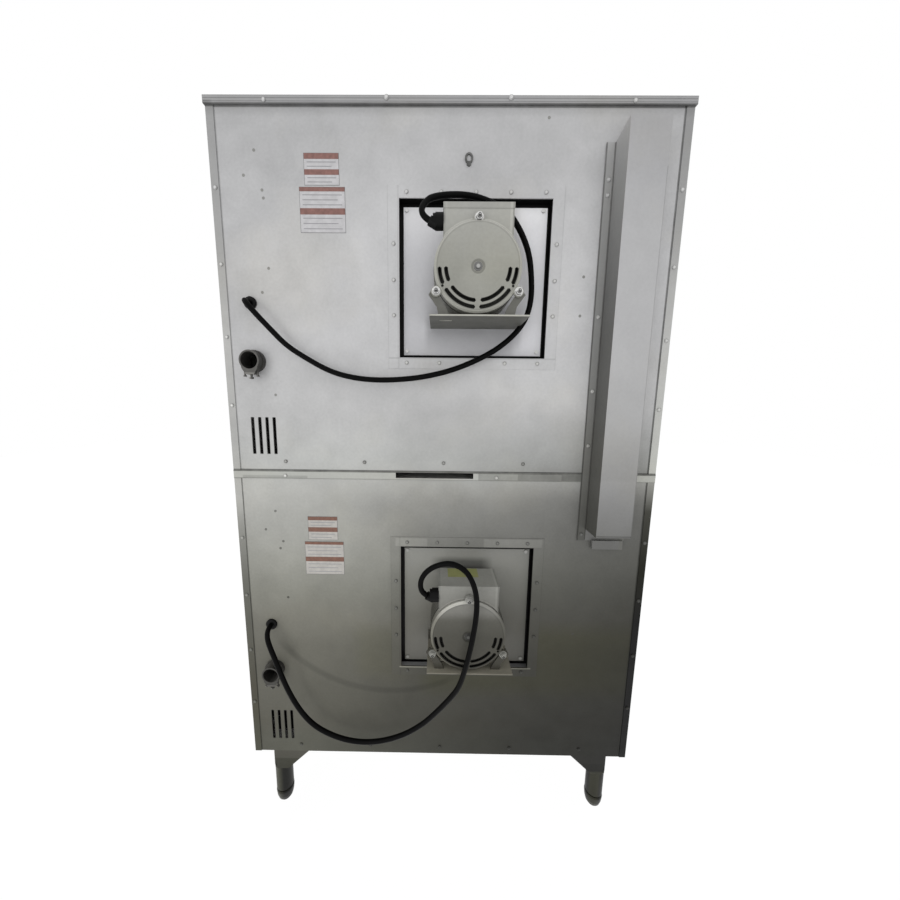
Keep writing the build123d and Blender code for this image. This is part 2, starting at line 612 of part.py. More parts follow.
# ================================================================= doors
def door_shell(base, x0, x1, hinge_x, side):
    """Outer pan with hinge bosses, and the inner pan with the window tunnel."""
    z0, z1 = base + door_r0, base + door_r1
    xc, zc = (x0 + x1) / 2, (z0 + z1) / 2 + 10
    # outer pan
    block(x0, x1, door_front, door_back, z0, z1)
    block(x0 + 1.5, x1 - 1.5, door_front + 1.5, door_back + 1, z0 + 1.5, z1 - 1.5, mode=Mode.SUBTRACT)
    bx0, bx1 = (hinge_x - 8.6, hinge_x + 16) if side < 0 else (hinge_x - 16, hinge_x + 8.6)
    for b0, b1 in ((z0 + 1, z0 + 18), (z1 - 18, z1 - 1)):
        block(bx0, bx1, door_mid - 12, door_mid + 12, b0, b1)
    rod_z(hinge_x, door_mid, pin_hole_r, z0 - 1, z0 + 15, mode=Mode.SUBTRACT)
    rod_z(hinge_x, door_mid, pin_hole_r, z1 - 15, z1 + 1, mode=Mode.SUBTRACT)
    block(xc - 105, xc + 105, door_front - 1, door_front + 3, zc - 165, zc + 165, mode=Mode.SUBTRACT)
    # inner pan: back sheet, and the tunnel that holds the two panes
    block(x0 + 1.7, x1 - 1.7, door_back - 1.5, door_back, z0 + 1.7, z1 - 1.7)
    block(xc - 117, xc + 117, door_front + 1.7, door_back - 1.5, zc - 177, zc + 177)
    block(xc - 115, xc + 115, door_front + 1.6, door_back - 1.5, zc - 175, zc + 175, mode=Mode.SUBTRACT)
    block(xc - 105, xc + 105, door_back - 2, door_back + 1, zc - 165, zc + 165, mode=Mode.SUBTRACT)


def door_glass(base, x0, x1):
    """Outer and inner panes inside the tunnel."""
    xc, zc = (x0 + x1) / 2, base + (door_r0 + door_r1) / 2 + 10
    for y in (door_front + 1.8, door_back - 6.7):
        block(xc - 114.8, xc + 114.8, y, y + 5, zc - 174.8, zc + 174.8)


def door_handle(base, x):
    """Bar handle bent back to the door at both ends, with round feet."""
    z0, z1 = base + 262, base + 612
    with BuildLine() as path:
        FilletPolyline((x, door_front, z0), (x, door_front - 38, z0), (x, door_front - 38, z1), (x, door_front, z1), radius=24)
    with BuildSketch(Plane(origin=(x, door_front, z0), z_dir=(0, -1, 0))) as section:
        Circle(11)
    sweep(sections=section.sketch, path=path.wire())
    for z in (z0, z1):
        rod_y(x, z, 17, door_front, door_front - 4)


left_hinge = left_x0 + hinge_inset
right_hinge = right_x1 - hinge_inset

with BuildPart() as upper_left_door_shell:
    door_shell(upper_base, left_x0, left_x1, left_hinge, -1)
save(upper_left_door_shell.part, "upper_left_door_shell")
with BuildPart() as upper_right_door_shell:
    door_shell(upper_base, right_x0, right_x1, right_hinge, 1)
save(upper_right_door_shell.part, "upper_right_door_shell")
with BuildPart() as lower_left_door_shell:
    door_shell(lower_base, left_x0, left_x1, left_hinge, -1)
save(lower_left_door_shell.part, "lower_left_door_shell")
with BuildPart() as lower_right_door_shell:
    door_shell(lower_base, right_x0, right_x1, right_hinge, 1)
save(lower_right_door_shell.part, "lower_right_door_shell")

with BuildPart() as upper_left_door_glass:
    door_glass(upper_base, left_x0, left_x1)
save(upper_left_door_glass.part, "upper_left_door_glass")
with BuildPart() as upper_right_door_glass:
    door_glass(upper_base, right_x0, right_x1)
save(upper_right_door_glass.part, "upper_right_door_glass")
with BuildPart() as lower_left_door_glass:
    door_glass(lower_base, left_x0, left_x1)
save(lower_left_door_glass.part, "lower_left_door_glass")
with BuildPart() as lower_right_door_glass:
    door_glass(lower_base, right_x0, right_x1)
save(lower_right_door_glass.part, "lower_right_door_glass")

with BuildPart() as upper_left_door_handle:
    door_handle(upper_base, left_x1 - 42)
save(upper_left_door_handle.part, "upper_left_door_handle")
with BuildPart() as upper_right_door_handle:
    door_handle(upper_base, right_x0 + 42)
save(upper_right_door_handle.part, "upper_right_door_handle")
with BuildPart() as lower_left_door_handle:
    door_handle(lower_base, left_x1 - 42)
save(lower_left_door_handle.part, "lower_left_door_handle")
with BuildPart() as lower_right_door_handle:
    door_handle(lower_base, right_x0 + 42)
save(lower_right_door_handle.part, "lower_right_door_handle")

# Hinge brackets: an arm above and below each door, with its pin.
with BuildPart() as hinge_brackets:
    for base in bases:
        for hx in (left_hinge, right_hinge):
            for z, s in ((base + door_r1, 1), (base + door_r0, -1)):
                block(hx - 15, hx + 15, door_mid - 12, front_y, z + s * 2, z + s * 8)
                block(hx - 15, hx + 15, front_y - 4, front_y, z + s * 2, z + s * 36)
                rod_z(hx, door_mid, pin_r, z + s * 3, z - s * 12)
save(hinge_brackets.part, "hinge_brackets")

# Door seals: a flat ring round each cavity mouth.
with BuildPart() as door_seals:
    for base in bases:
        with BuildSketch(front(front_y)):
            with Locations((-61.5, base + 427)):
                Rectangle(763, 534)
                Rectangle(741, 512, mode=Mode.SUBTRACT)
        extrude(amount=3.4)
save(door_seals.part, "door_seals")

# ================================================================= controls
with BuildPart() as control_panels:
    for base in bases:
        block(356, 504, fascia_front, front_y, base + door_r0, base + door_r1)
        block(357.5, 502.5, fascia_front + 1.5, front_y + 1, base + door_r0 + 1.5, base + door_r1 - 1.5, mode=Mode.SUBTRACT)
        rod_y(ctrl_x, base + thermo_r, 5, fascia_front - 1, fascia_front + 3, mode=Mode.SUBTRACT)
        rod_y(ctrl_x, base + timer_r, 5, fascia_front - 1, fascia_front + 3, mode=Mode.SUBTRACT)
        for r in lamp_rs:
            rod_y(ctrl_x, base + r, 6.2, fascia_front - 1, fascia_front + 3, mode=Mode.SUBTRACT)
        block(ctrl_x - 15, ctrl_x + 15, fascia_front - 1, fascia_front + 3, base + rocker_r - 22, base + rocker_r + 22, mode=Mode.SUBTRACT)
save(control_panels.part, "control_panels")


def knob(z, r):
    """Skirted knob with a grip bar, bored for its spindle."""
    y = fascia_front - 1.0
    rod_y(ctrl_x, z, r, y, y - 6)
    rod_y(ctrl_x, z, r - 4, y - 6, y - 12)
    block(ctrl_x - 6.5, ctrl_x + 6.5, y - 26, y - 10, z - r + 5, z + r - 5)
    rod_y(ctrl_x, z, 3.05, y + 1, y - 16, mode=Mode.SUBTRACT)


with BuildPart() as upper_thermostat_knob:
    knob(upper_base + thermo_r, 30)
save(upper_thermostat_knob.part, "upper_thermostat_knob")
with BuildPart() as lower_thermostat_knob:
    knob(lower_base + thermo_r, 30)
save(lower_thermostat_knob.part, "lower_thermostat_knob")
with BuildPart() as upper_timer_knob:
    knob(upper_base + timer_r, 26)
save(upper_timer_knob.part, "upper_timer_knob")
with BuildPart() as lower_timer_knob:
    knob(lower_base + timer_r, 26)
save(lower_timer_knob.part, "lower_timer_knob")


def rocker(base):
    """Two-way rocker on its pivot pins, resting with its upper half pressed in."""
    py, pz = fascia_front + 5.0, base + rocker_r
    tilt = math.radians(10)

    def at(u, v):
        # u towards the user, v up, turned by the rest tilt about the pivot
        return (py - (u * math.cos(tilt) - v * math.sin(tilt)), pz + u * math.sin(tilt) + v * math.cos(tilt))

    with BuildSketch(Plane.YZ.offset(ctrl_x - 10.5)) as profile:
        with BuildLine():
            Polyline(at(-4, -9), at(4.5, -15.5), at(8.5, -15), at(6.6, 0), at(8.5, 15), at(4.5, 15.5), at(-4, 9), close=True)
        make_face()
    extrude(to_extrude=profile.sketch, amount=21)
    rod_x(py, pz, 2.0, ctrl_x - 13.0, ctrl_x + 13.0)


with BuildPart() as upper_power_rocker:
    rocker(upper_base)
save(upper_power_rocker.part, "upper_power_rocker")
with BuildPart() as lower_power_rocker:
    rocker(lower_base)
save(lower_power_rocker.part, "lower_power_rocker")

# Control components: rocker bezels, thermostats and timers with their
# spindles, contactors and terminal blocks in the side compartments.
with BuildPart() as control_components:
    for base in bases:
        py, pz = fascia_front + 5.0, base + rocker_r
        block(ctrl_x - 14.8, ctrl_x + 14.8, fascia_front, fascia_front + 26, pz - 21.8, pz + 21.8)
        block(ctrl_x - 17.5, ctrl_x + 17.5, fascia_front - 2, fascia_front, pz - 24.5, pz + 24.5)
        block(ctrl_x - 11, ctrl_x + 11, fascia_front - 3, fascia_front + 22, pz - 18, pz + 18, mode=Mode.SUBTRACT)
        rod_x(py, pz, 2.05, ctrl_x - 13.5, ctrl_x + 13.5, mode=Mode.SUBTRACT)
        for r, w in ((thermo_r, 24), (timer_r, 21)):
            block(ctrl_x - w, ctrl_x + w, fascia_front + 1.5, fascia_front + 42, base + r - w, base + r + w)
            rod_y(ctrl_x, base + r, 3.0, fascia_front + 2, fascia_front - 14)
        block(347.6, 410, front_y + 260, front_y + 340, base + 300, base + 380)
        block(347.6, 400, front_y + 260, front_y + 340, base + 420, base + 480)
        block(395, 470, Y(90), Y(60), base + 1.6, base + 40)
save(control_components.part, "control_components")

with BuildPart() as indicator_lamps:
    for base in bases:
        for r in lamp_rs:
            z = base + r
            rod_y(ctrl_x, z, 6.0, fascia_front, fascia_front + 22)
            rod_y(ctrl_x, z, 9.0, fascia_front, fascia_front - 2)
            rod_y(ctrl_x, z, 6.5, fascia_front - 2, fascia_front - 5)
save(indicator_lamps.part, "indicator_lamps")


# ================================================================= legs
front_leg_y = front_y + leg_depth
rear_leg_y = rear_y - leg_depth
with BuildPart() as leg_brackets:
    for y, s in ((rear_leg_y, 1), (front_leg_y, -1)):
        for k in (1, -1):
            rod_z(k * leg_x, y, leg_r, 42, 200)
            rod_z(k * leg_x, y, 24.0, 122, 200)
            block(k * 347, k * 480, y + s * 24.5, y - s * 120, 200, 203)
            with BuildSketch(Plane.XZ.offset(-(y + s * 24))) as plate:
                with BuildLine():
                    Polyline(
                        (k * 349, 200), (k * 418.5, 133), (k * 429, 122.5), (k * 460.5, 121), (k * 462, 124),
                        (k * 467, 200), close=True,
                    )
                make_face()
            extrude(to_extrude=plate.sketch, amount=3 * s)
            with BuildSketch(Plane.YZ.offset(k * 465 - 1.5)) as gusset:
                with BuildLine():
                    Polyline((y + s * 24, 200), (y + s * 24, 126), (y - s * 16, 126), (y - s * 90, 200), close=True)
                make_face()
            extrude(to_extrude=gusset.sketch, amount=3)
            rod_z(k * leg_x, y, shaft_r + 0.05, 40, 112, mode=Mode.SUBTRACT)
save(leg_brackets.part, "leg_brackets")


def foot(k, y):
    """Bullet foot with its adjusting stem."""
    with BuildSketch(Plane(origin=(k * leg_x, y, 0), x_dir=(1, 0, 0), z_dir=(0, -1, 0))) as profile:
        with BuildLine():
            Polyline(
                (0, 0), (13, 0), (15, 1), (19.5, 8), (22.2, 18), (23.4, 28), (23.8, 34), (22.8, 38.6),
                (shaft_r, 38.6), (shaft_r, 100), (7, 101), (0, 101), close=True,
            )
        make_face()
    revolve(profile.sketch, axis=Axis((k * leg_x, y, 0), (0, 0, 1)))


with BuildPart() as rear_left_foot:
    foot(-1, rear_leg_y)
save(rear_left_foot.part, "rear_left_foot")
with BuildPart() as rear_right_foot:
    foot(1, rear_leg_y)
save(rear_right_foot.part, "rear_right_foot")
with BuildPart() as front_left_foot:
    foot(-1, front_leg_y)
save(front_left_foot.part, "front_left_foot")
with BuildPart() as front_right_foot:
    foot(1, front_leg_y)
save(front_right_foot.part, "front_right_foot")

# ================================================================= screws
# x, depth of the surface under the head, z
screws = []
for base in bases:
    for r in strip_screw_rs:
        screws += [(498.5, 0, base + r), (-498.5, 0, base + r)]
    screws += [(x, 1.5, base + 21.5) for x in bottom_screw_xs]
    for i in range(-2, 3):
        screws += [(win_x + i * screw_pitch, 0.3, base + win_r + screw_row), (win_x + i * screw_pitch, 0.3, base + win_r - screw_row)]
    for i in range(-1, 2):
        screws += [(win_x + screw_row, 0.3, base + win_r + i * screw_pitch), (win_x - screw_row, 0.3, base + win_r + i * screw_pitch)]
screws += [(x, 0, 980.0) for x in (-382, -128, 382)]
screws += [(x, -4, 1773.0) for x in (-381.8, 381.8)]
screws += [(-341, -1.4, z) for z in (1628.2, 1597.9, 1350.7, 1187.2, 1060.4, 841.4)]

with BuildPart() as casing_screws:
    for x, d, z in screws:
        rod_y(x, z, 1.9, Y(d + 8), Y(d))
        rod_y(x, z, 4.4, Y(d), Y(d - 1.2))
        with Locations(Plane(origin=(x, Y(d - 1.2), z), x_dir=(1, 0, 0), z_dir=(0, 1, 0))):
            Cone(4.4, 2.6, 1.0, align=(Align.CENTER, Align.CENTER, Align.MIN))
    for x in (-128, 128):
        rod_y(x, 1777.5, 1.9, Y(4), Y(-4))
        rod_y(x, 1777.5, 5.2, Y(-4), Y(-5.4))
        with Locations(Plane(origin=(x, Y(-5.4), 1777.5), x_dir=(1, 0, 0), z_dir=(0, 1, 0))):
            Cone(5.2, 3.0, 1.4, align=(Align.CENTER, Align.CENTER, Align.MIN))
    z = upper_base + 674
    with BuildSketch(rear(-1.5)) as eye:
        with Locations((-44.6, z + 2)):
            Ellipse(8.5, 10.5)
            Ellipse(5.2, 7.0, mode=Mode.SUBTRACT)
        with Locations((-44.6, z - 8.5)):
            Circle(4.6)
    extrude(to_extrude=eye.sketch, amount=3.0)
save(casing_screws.part, "casing_screws")
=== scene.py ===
import math
import bpy
from mathutils import Matrix, Vector


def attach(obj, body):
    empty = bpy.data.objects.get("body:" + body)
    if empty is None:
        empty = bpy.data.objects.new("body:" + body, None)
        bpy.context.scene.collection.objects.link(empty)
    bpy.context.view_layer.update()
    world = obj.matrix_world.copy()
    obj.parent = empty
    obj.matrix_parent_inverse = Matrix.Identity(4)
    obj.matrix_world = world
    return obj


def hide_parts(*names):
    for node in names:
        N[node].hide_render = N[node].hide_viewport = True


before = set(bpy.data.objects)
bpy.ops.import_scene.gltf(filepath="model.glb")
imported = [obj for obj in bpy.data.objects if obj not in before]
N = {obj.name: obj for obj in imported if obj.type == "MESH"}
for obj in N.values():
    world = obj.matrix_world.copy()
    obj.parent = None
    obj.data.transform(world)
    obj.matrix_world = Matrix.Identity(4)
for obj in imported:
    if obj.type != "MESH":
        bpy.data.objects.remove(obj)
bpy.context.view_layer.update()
scene = bpy.context.scene

# The oven's frame in millimetres: x, depth into the oven behind the rear
# strips' plane, and height. P turns such a point into metres.
REAR = 426.5
UP, LOW = 993.0, 203.0


def P(x, c, z):
    return Vector((x / 1000.0, (REAR - c) / 1000.0, z / 1000.0))


# ------------------------------------------------------------------ camera
yaw, pitch, roll = -0.008232, 0.141498, 0.010259
cyw, syw = math.cos(yaw), math.sin(yaw)
cpt, spt = math.cos(pitch), math.sin(pitch)
crl, srl = math.cos(roll), math.sin(roll)
Ry = Matrix(((cyw, 0, -syw), (0, 1, 0), (syw, 0, cyw)))
Rx = Matrix(((1, 0, 0), (0, cpt, -spt), (0, spt, cpt)))
Rz = Matrix(((crl, -srl, 0), (srl, crl, 0), (0, 0, 1)))
R = Rz @ Rx @ Ry
right = Vector((-R[0][0], -R[0][2], -R[0][1]))
upv = Vector((R[1][0], R[1][2], R[1][1]))
back = Vector((R[2][0], R[2][2], R[2][1]))
cam_data = bpy.data.cameras.new("camera")
cam_data.sensor_width = 36.0
cam_data.lens = 12.956
cam_data.shift_x = 0.01662
cam_data.shift_y = 0.0
cam_data.clip_start = 0.05
cam_data.clip_end = 60.0
cam = bpy.data.objects.new("camera", cam_data)
scene.collection.objects.link(cam)
cam.matrix_world = Matrix((
    (right[0], upv[0], back[0], 0.014477),
    (right[1], upv[1], back[1], (REAR + 763.909) / 1000.0),
    (right[2], upv[2], back[2], 1.155220),
    (0, 0, 0, 1),
))
scene.camera = cam

# --------------------------------------------------------------- materials
ALBEDO = 0.96   # the stage's light on a plain surface, measured in test renders
SHEEN = 0.02    # the part of a tone that the surface's gloss adds


def rgb(r, g, b):
    """Screen colour, 0 to 255, as the linear RGBA that renders as that tone."""
    def lin(v):
        v = v / 255.0
        v = v / 12.92 if v <= 0.04045 else ((v + 0.055) / 1.055) ** 2.4
        return max(0.0015, ALBEDO * (v - SHEEN))
    return (lin(r), lin(g), lin(b), 1.0)


def new_mat(name):
    m = bpy.data.materials.new(name)
    m.use_nodes = True
    nt = m.node_tree
    bsdf = nt.nodes["Principled BSDF"]
    return m, nt, bsdf


def node(nt, kind, **props):
    n = nt.nodes.new(kind)
    for k, v in props.items():
        setattr(n, k, v)
    return n


def noise(nt, coord, scale, detail=3.0, rough=0.55, distortion=0.0):
    n = node(nt, "ShaderNodeTexNoise")
    n.inputs["Scale"].default_value = scale
    n.inputs["Detail"].default_value = detail
    n.inputs["Roughness"].default_value = rough
    n.inputs["Distortion"].default_value = distortion
    nt.links.new(coord, n.inputs["Vector"])
    return n.outputs["Fac"]


def maprange(nt, val, a, b, c, d, smooth=False):
    n = node(nt, "ShaderNodeMapRange")
    n.clamp = True
    if smooth:
        n.interpolation_type = "SMOOTHSTEP"
    n.inputs["From Min"].default_value = a
    n.inputs["From Max"].default_value = b
    n.inputs["To Min"].default_value = c
    n.inputs["To Max"].default_value = d
    nt.links.new(val, n.inputs["Value"])
    return n.outputs["Result"]


def mathn(nt, op, a, b=None):
    n = node(nt, "ShaderNodeMath", operation=op)
    for i, v in enumerate((a, b)):
        if v is None:
            continue
        if isinstance(v, (int, float)):
            n.inputs[i].default_value = v
        else:
            nt.links.new(v, n.inputs[i])
    return n.outputs[0]


def mixc(nt, fac, a, b, blend="MIX"):
    n = node(nt, "ShaderNodeMix", data_type="RGBA", blend_type=blend)
    n.clamp_factor = True
    for sock, v in ((n.inputs[0], fac), (n.inputs[6], a), (n.inputs[7], b)):
        if isinstance(v, (int, float)):
            sock.default_value = v
        elif isinstance(v, tuple):
            sock.default_value = v
        else:
            nt.links.new(v, sock)
    return n.outputs[2]


def ramp(nt, val, stops):
    n = node(nt, "ShaderNodeValToRGB")
    cr = n.color_ramp
    while len(cr.elements) > 1:
        cr.elements.remove(cr.elements[-1])
    cr.elements[0].position = stops[0][0]
    cr.elements[0].color = stops[0][1]
    for p, c in stops[1:]:
        e = cr.elements.new(p)
        e.color = c
    nt.links.new(val, n.inputs["Fac"])
    return n.outputs["Color"]


def coords(nt):
    tc = node(nt, "ShaderNodeTexCoord")
    sep = node(nt, "ShaderNodeSeparateXYZ")
    nt.links.new(tc.outputs["Object"], sep.inputs[0])
    return tc.outputs["Object"], sep.outputs[0], sep.outputs[1], sep.outputs[2]


def band(nt, v, lo, hi, soft=0.0006):
    """One inside lo to hi, nought outside, with soft edges."""
    a = maprange(nt, v, lo - soft, lo, 0.0, 1.0)
    b = maprange(nt, v, hi, hi + soft, 1.0, 0.0)
    return mathn(nt, "MULTIPLY", a, b)


def sheet_metal(name, stops, shade_tilt=1.02, tint=1.0, metallic=0.08, rough=0.5, z0=0.203, z1=1.783,
                dark_inside=None, zones=(), lines=(), mottle=1.0, spec=0.2, mods=(), olive=()):
    """Blotched satin sheet whose tone falls with height, and from one side to
    the other on the lower deck, as painted shade, with fine mottling in it.
    Zones have tones of their own between two coordinates. Lines are dark
    bands, mostly painted shade in seams, steps, slots and under edges, with
    some dirt in the seams: axis, low, high, softness, strength, and limits
    along the other axes. Mods paint light and shade, making the tone lighter
    or darker by a share, inside bands of a coordinate, of the distance r and angle a round the nearer motor axis, of
    the distance s and angle t round the middle of the lower cord's painted shadow, or of the normal.
    Olive are amounts of a yellower cast in such bands."""
    m, nt, b = new_mat(name)
    co, x, y, z = coords(nt)
    t = maprange(nt, z, z0, z1, 0.0, 1.0)
    base = ramp(nt, t, stops)
    axes = {"x": x, "y": y, "z": z}
    for axis, lo, hi, soft, tones in zones:
        base = mixc(nt, band(nt, axes[axis], lo, hi, soft), base, ramp(nt, t, tones))
    # painted shade: the lower deck darkens towards -X, more so near its bottom,
    # and so does the foot of the upper deck
    side = mathn(nt, "MULTIPLY", maprange(nt, x, -0.51, 0.38, -shade_tilt, 0.0), maprange(nt, z, 0.25, 0.90, 1.95, 1.10))
    if dark_inside is not None:
        base = mixc(nt, maprange(nt, y, dark_inside - 0.0004, dark_inside + 0.0004, 1.0, 0.0), base, (0.0042, 0.0042, 0.0042, 1.0))
    low = maprange(nt, z, 0.90, 1.02, 1.0, 0.0, smooth=True)
    foot = mathn(nt, "MULTIPLY", maprange(nt, x, -0.36, 0.02, -0.55 * min(1.0, shade_tilt), 0.0), maprange(nt, z, 1.00, 1.14, 1.0, 0.0))
    foot = mathn(nt, "MULTIPLY", foot, maprange(nt, z, 0.985, 0.993, 0.0, 1.0))
    expo = mathn(nt, "ADD", mathn(nt, "MULTIPLY", side, low), foot)
    shade_fall = mathn(nt, "POWER", 2.71828, expo)
    # blotches and fine mottling
    n1 = noise(nt, co, 3.0, 4.0, 0.55)
    n2 = noise(nt, co, 16.0, 5.0, 0.6, 0.4)
    n3 = noise(nt, co, 160.0, 2.0, 0.5)
    v = mathn(nt, "ADD", maprange(nt, n1, 0.3, 0.7, 1 - 0.07 * mottle, 1 + 0.06 * mottle), maprange(nt, n2, 0.3, 0.7, -0.035 * mottle, 0.035 * mottle))
    v = mathn(nt, "ADD", v, maprange(nt, n3, 0.3, 0.7, -0.02 * mottle, 0.02 * mottle))
    v = mathn(nt, "MULTIPLY", mathn(nt, "MULTIPLY", v, shade_fall), tint)
    field = {"x": x, "y": y, "z": z}
    used = {band_[0] for gain, bands in mods for band_ in bands}
    if used & {"r", "a"}:
        # height over the axis of the deck's own motor
        own = mathn(nt, "SUBTRACT", z, maprange(nt, z, 0.9829, 0.9831, 0.630, 1.420))
        off = mathn(nt, "SUBTRACT", x, -0.060)
        field["r"] = mathn(nt, "SQRT", mathn(nt, "ADD", mathn(nt, "MULTIPLY", own, own), mathn(nt, "MULTIPLY", off, off)))
        field["a"] = mathn(nt, "MULTIPLY", mathn(nt, "ARCTAN2", own, off), 180.0 / math.pi)
    if used & {"s", "t"}:
        up = mathn(nt, "SUBTRACT", z, 0.7612)
        off = mathn(nt, "SUBTRACT", x, 0.1331)
        field["s"] = mathn(nt, "SQRT", mathn(nt, "ADD", mathn(nt, "MULTIPLY", up, up), mathn(nt, "MULTIPLY", off, off)))
        field["t"] = mathn(nt, "MULTIPLY", mathn(nt, "ARCTAN2", up, off), 180.0 / math.pi)
    if used & {"nx", "ny", "nz"}:
        nsep = node(nt, "ShaderNodeSeparateXYZ")
        nt.links.new(node(nt, "ShaderNodeNewGeometry").outputs["Normal"], nsep.inputs[0])
        field["nx"], field["ny"], field["nz"] = nsep.outputs[0], nsep.outputs[1], nsep.outputs[2]
    for gain, bands in mods:
        f = None
        for axis, lo, hi, soft in bands:
            g = band(nt, field[axis], lo, hi, soft)
            f = g if f is None else mathn(nt, "MULTIPLY", f, g)
        v = mathn(nt, "MULTIPLY", v, mathn(nt, "ADD", mathn(nt, "MULTIPLY", f, gain), 1.0))
    comb = node(nt, "ShaderNodeCombineXYZ")
    for i in range(3):
        nt.links.new(v, comb.inputs[i])
    col = mixc(nt, 1.0, base, comb.outputs[0], "MULTIPLY")
    warm = maprange(nt, noise(nt, co, 4.5, 3.0, 0.5), 0.5, 0.72, 0.0, 0.55)
    col = mixc(nt, warm, col, mixc(nt, 1.0, col, (1.02, 1.0, 0.94, 1.0), "MULTIPLY"))
    for amount, bands in olive:
        f = None
        for axis, lo, hi, soft in bands:
            g = band(nt, field[axis], lo, hi, soft)
            f = g if f is None else mathn(nt, "MULTIPLY", f, g)
        f = mathn(nt, "MULTIPLY", f, amount)
        col = mixc(nt, f, col, mixc(nt, 1.0, col, (1.0, 1.0, 0.74, 1.0), "MULTIPLY"))
    # dark lines of painted shade, blotched by noise, with some dirt in the seams
    if lines:
        shade_and_grime = maprange(nt, noise(nt, co, 28.0, 3.0, 0.6), 0.3, 0.65, 0.75, 1.0)
    for axis, lo, hi, soft, strength, limits in lines:
        f = mathn(nt, "MULTIPLY", band(nt, axes[axis], lo, hi, soft), strength)
        for other, l0, l1 in limits:
            f = mathn(nt, "MULTIPLY", f, band(nt, axes[other], l0, l1, 0.002))
        f = mathn(nt, "MULTIPLY", f, shade_and_grime)
        col = mixc(nt, f, col, (0.022, 0.022, 0.019, 1.0))
    nt.links.new(col, b.inputs["Base Color"])
    b.inputs["Metallic"].default_value = metallic
    b.inputs["Specular IOR Level"].default_value = spec
    r = maprange(nt, noise(nt, co, 22.0, 3.0, 0.6), 0.3, 0.7, rough - 0.06, rough + 0.08)
    nt.links.new(r, b.inputs["Roughness"])
    bump = node(nt, "ShaderNodeBump")
    bump.inputs["Strength"].default_value = 0.06
    bump.inputs["Distance"].default_value = 0.002
    nt.links.new(noise(nt, co, 9.0, 3.0, 0.5), bump.inputs["Height"])
    nt.links.new(bump.outputs[0], b.inputs["Normal"])
    return m


def zt(z):
    return (z - 203.0) / 1580.0


# Tone ramps by height: their darkening towards the bottom is painted shade over the sheets' own grey.
PANEL = [
    (0.0, rgb(94, 94, 86)), (zt(253), rgb(95, 95, 87)), (zt(293), rgb(97, 96, 88)), (zt(343), rgb(104, 103, 95)),
    (zt(523), rgb(114, 113, 105)), (zt(603), rgb(127, 126, 118)), (zt(683), rgb(140, 140, 132)), (zt(763), rgb(159, 159, 152)),
    (zt(843), rgb(170, 170, 165)), (zt(943), rgb(186, 186, 182)), (zt(1020), rgb(185, 186, 184)), (zt(1133), rgb(187, 187, 187)),
    (zt(1313), rgb(193, 193, 194)), (zt(1473), rgb(195, 195, 196)), (zt(1560), rgb(190, 190, 191)), (zt(1650), rgb(183, 183, 184)),
    (zt(1775), rgb(180, 180, 181)),
]
PLATE = [
    (0.0, rgb(112, 111, 105)), (zt(510), rgb(128, 127, 121)), (zt(603), rgb(135, 134, 127)), (zt(703), rgb(157, 157, 150)),
    (zt(763), rgb(169, 169, 163)), (zt(800), rgb(174, 174, 169)), (zt(1290), rgb(198, 198, 201)), (zt(1490), rgb(209, 209, 212)),
    (zt(1560), rgb(220, 220, 222)), (zt(1600), rgb(222, 222, 224)),
]
STRIP_L = [
    (0.0, rgb(84, 84, 74)), (zt(400), rgb(86, 84, 75)), (zt(600), rgb(102, 102, 95)), (zt(700), rgb(110, 110, 104)), (zt(850), rgb(150, 150, 145)),
    (zt(920), rgb(180, 180, 176)), (zt(1100), rgb(173, 173, 171)), (zt(1300), rgb(186, 186, 184)), (zt(1500), rgb(167, 167, 166)),
    (zt(1700), rgb(160, 160, 160)),
]
# the -X strip's ramp: a darker copy, painted shade on the side away from the light
STRIP_R = [
    (0.0, rgb(38, 38, 33)), (zt(600), rgb(38, 38, 33)), (zt(760), rgb(46, 46, 41)), (zt(900), rgb(74, 74, 69)),
    (zt(970), rgb(150, 150, 146)), (zt(1000), rgb(188, 189, 184)), (zt(1300), rgb(192, 192, 190)), (zt(1500), rgb(170, 170, 169)),
    (zt(1700), rgb(152, 152, 152)),
]
TRIM = [(0.0, rgb(180, 181, 176)), (1.0, rgb(180, 181, 176))]
everywhere = ()
# painted shadow along the steps where the side strips lie on the back panels
EDGES = [
    ("x", 0.4888, 0.4912, 0.0006, 0.38, (("z", 0.99, 1.80),)),
    ("x", 0.4888, 0.4912, 0.0006, 0.62, (("z", 0.19, 0.975),)),
    ("x", -0.4912, -0.4880, 0.0008, 0.72, (("z", 0.19, 1.80),)),
]
# painted shade, with some dirt, in the joint over the trim and under the top cover's lip, and a soft painted shadow
# below the lip
SEAMS = [
    ("z", 0.9905, 0.9950, 0.0008, 0.74, everywhere),
    ("z", 1.7645, 1.7680, 0.0014, 0.62, everywhere),
    ("z", 1.7560, 1.7680, 0.0100, 0.12, everywhere),
]
# painted shade, with some dirt, in the joint under the trim, stronger at +X
LOW_SEAMS = [
    ("z", 0.9722, 0.9738, 0.0006, 0.30, everywhere),
    ("z", 0.9722, 0.9738, 0.0006, 0.60, (("x", 0.480, 0.52),)),
]
# painted shade along the side edges of the window openings
WINDOW = [
    ("x", -0.2525, -0.2508, 0.0006, 0.22, (("z", 1.235, 1.617),)),
    ("x", 0.1276, 0.1290, 0.0006, 0.22, (("z", 1.235, 1.617),)),
    ("x", -0.2525, -0.2508, 0.0006, 0.26, (("z", 0.445, 0.827),)),
    ("x", 0.1276, 0.1290, 0.0006, 0.26, (("z", 0.445, 0.827),)),
]
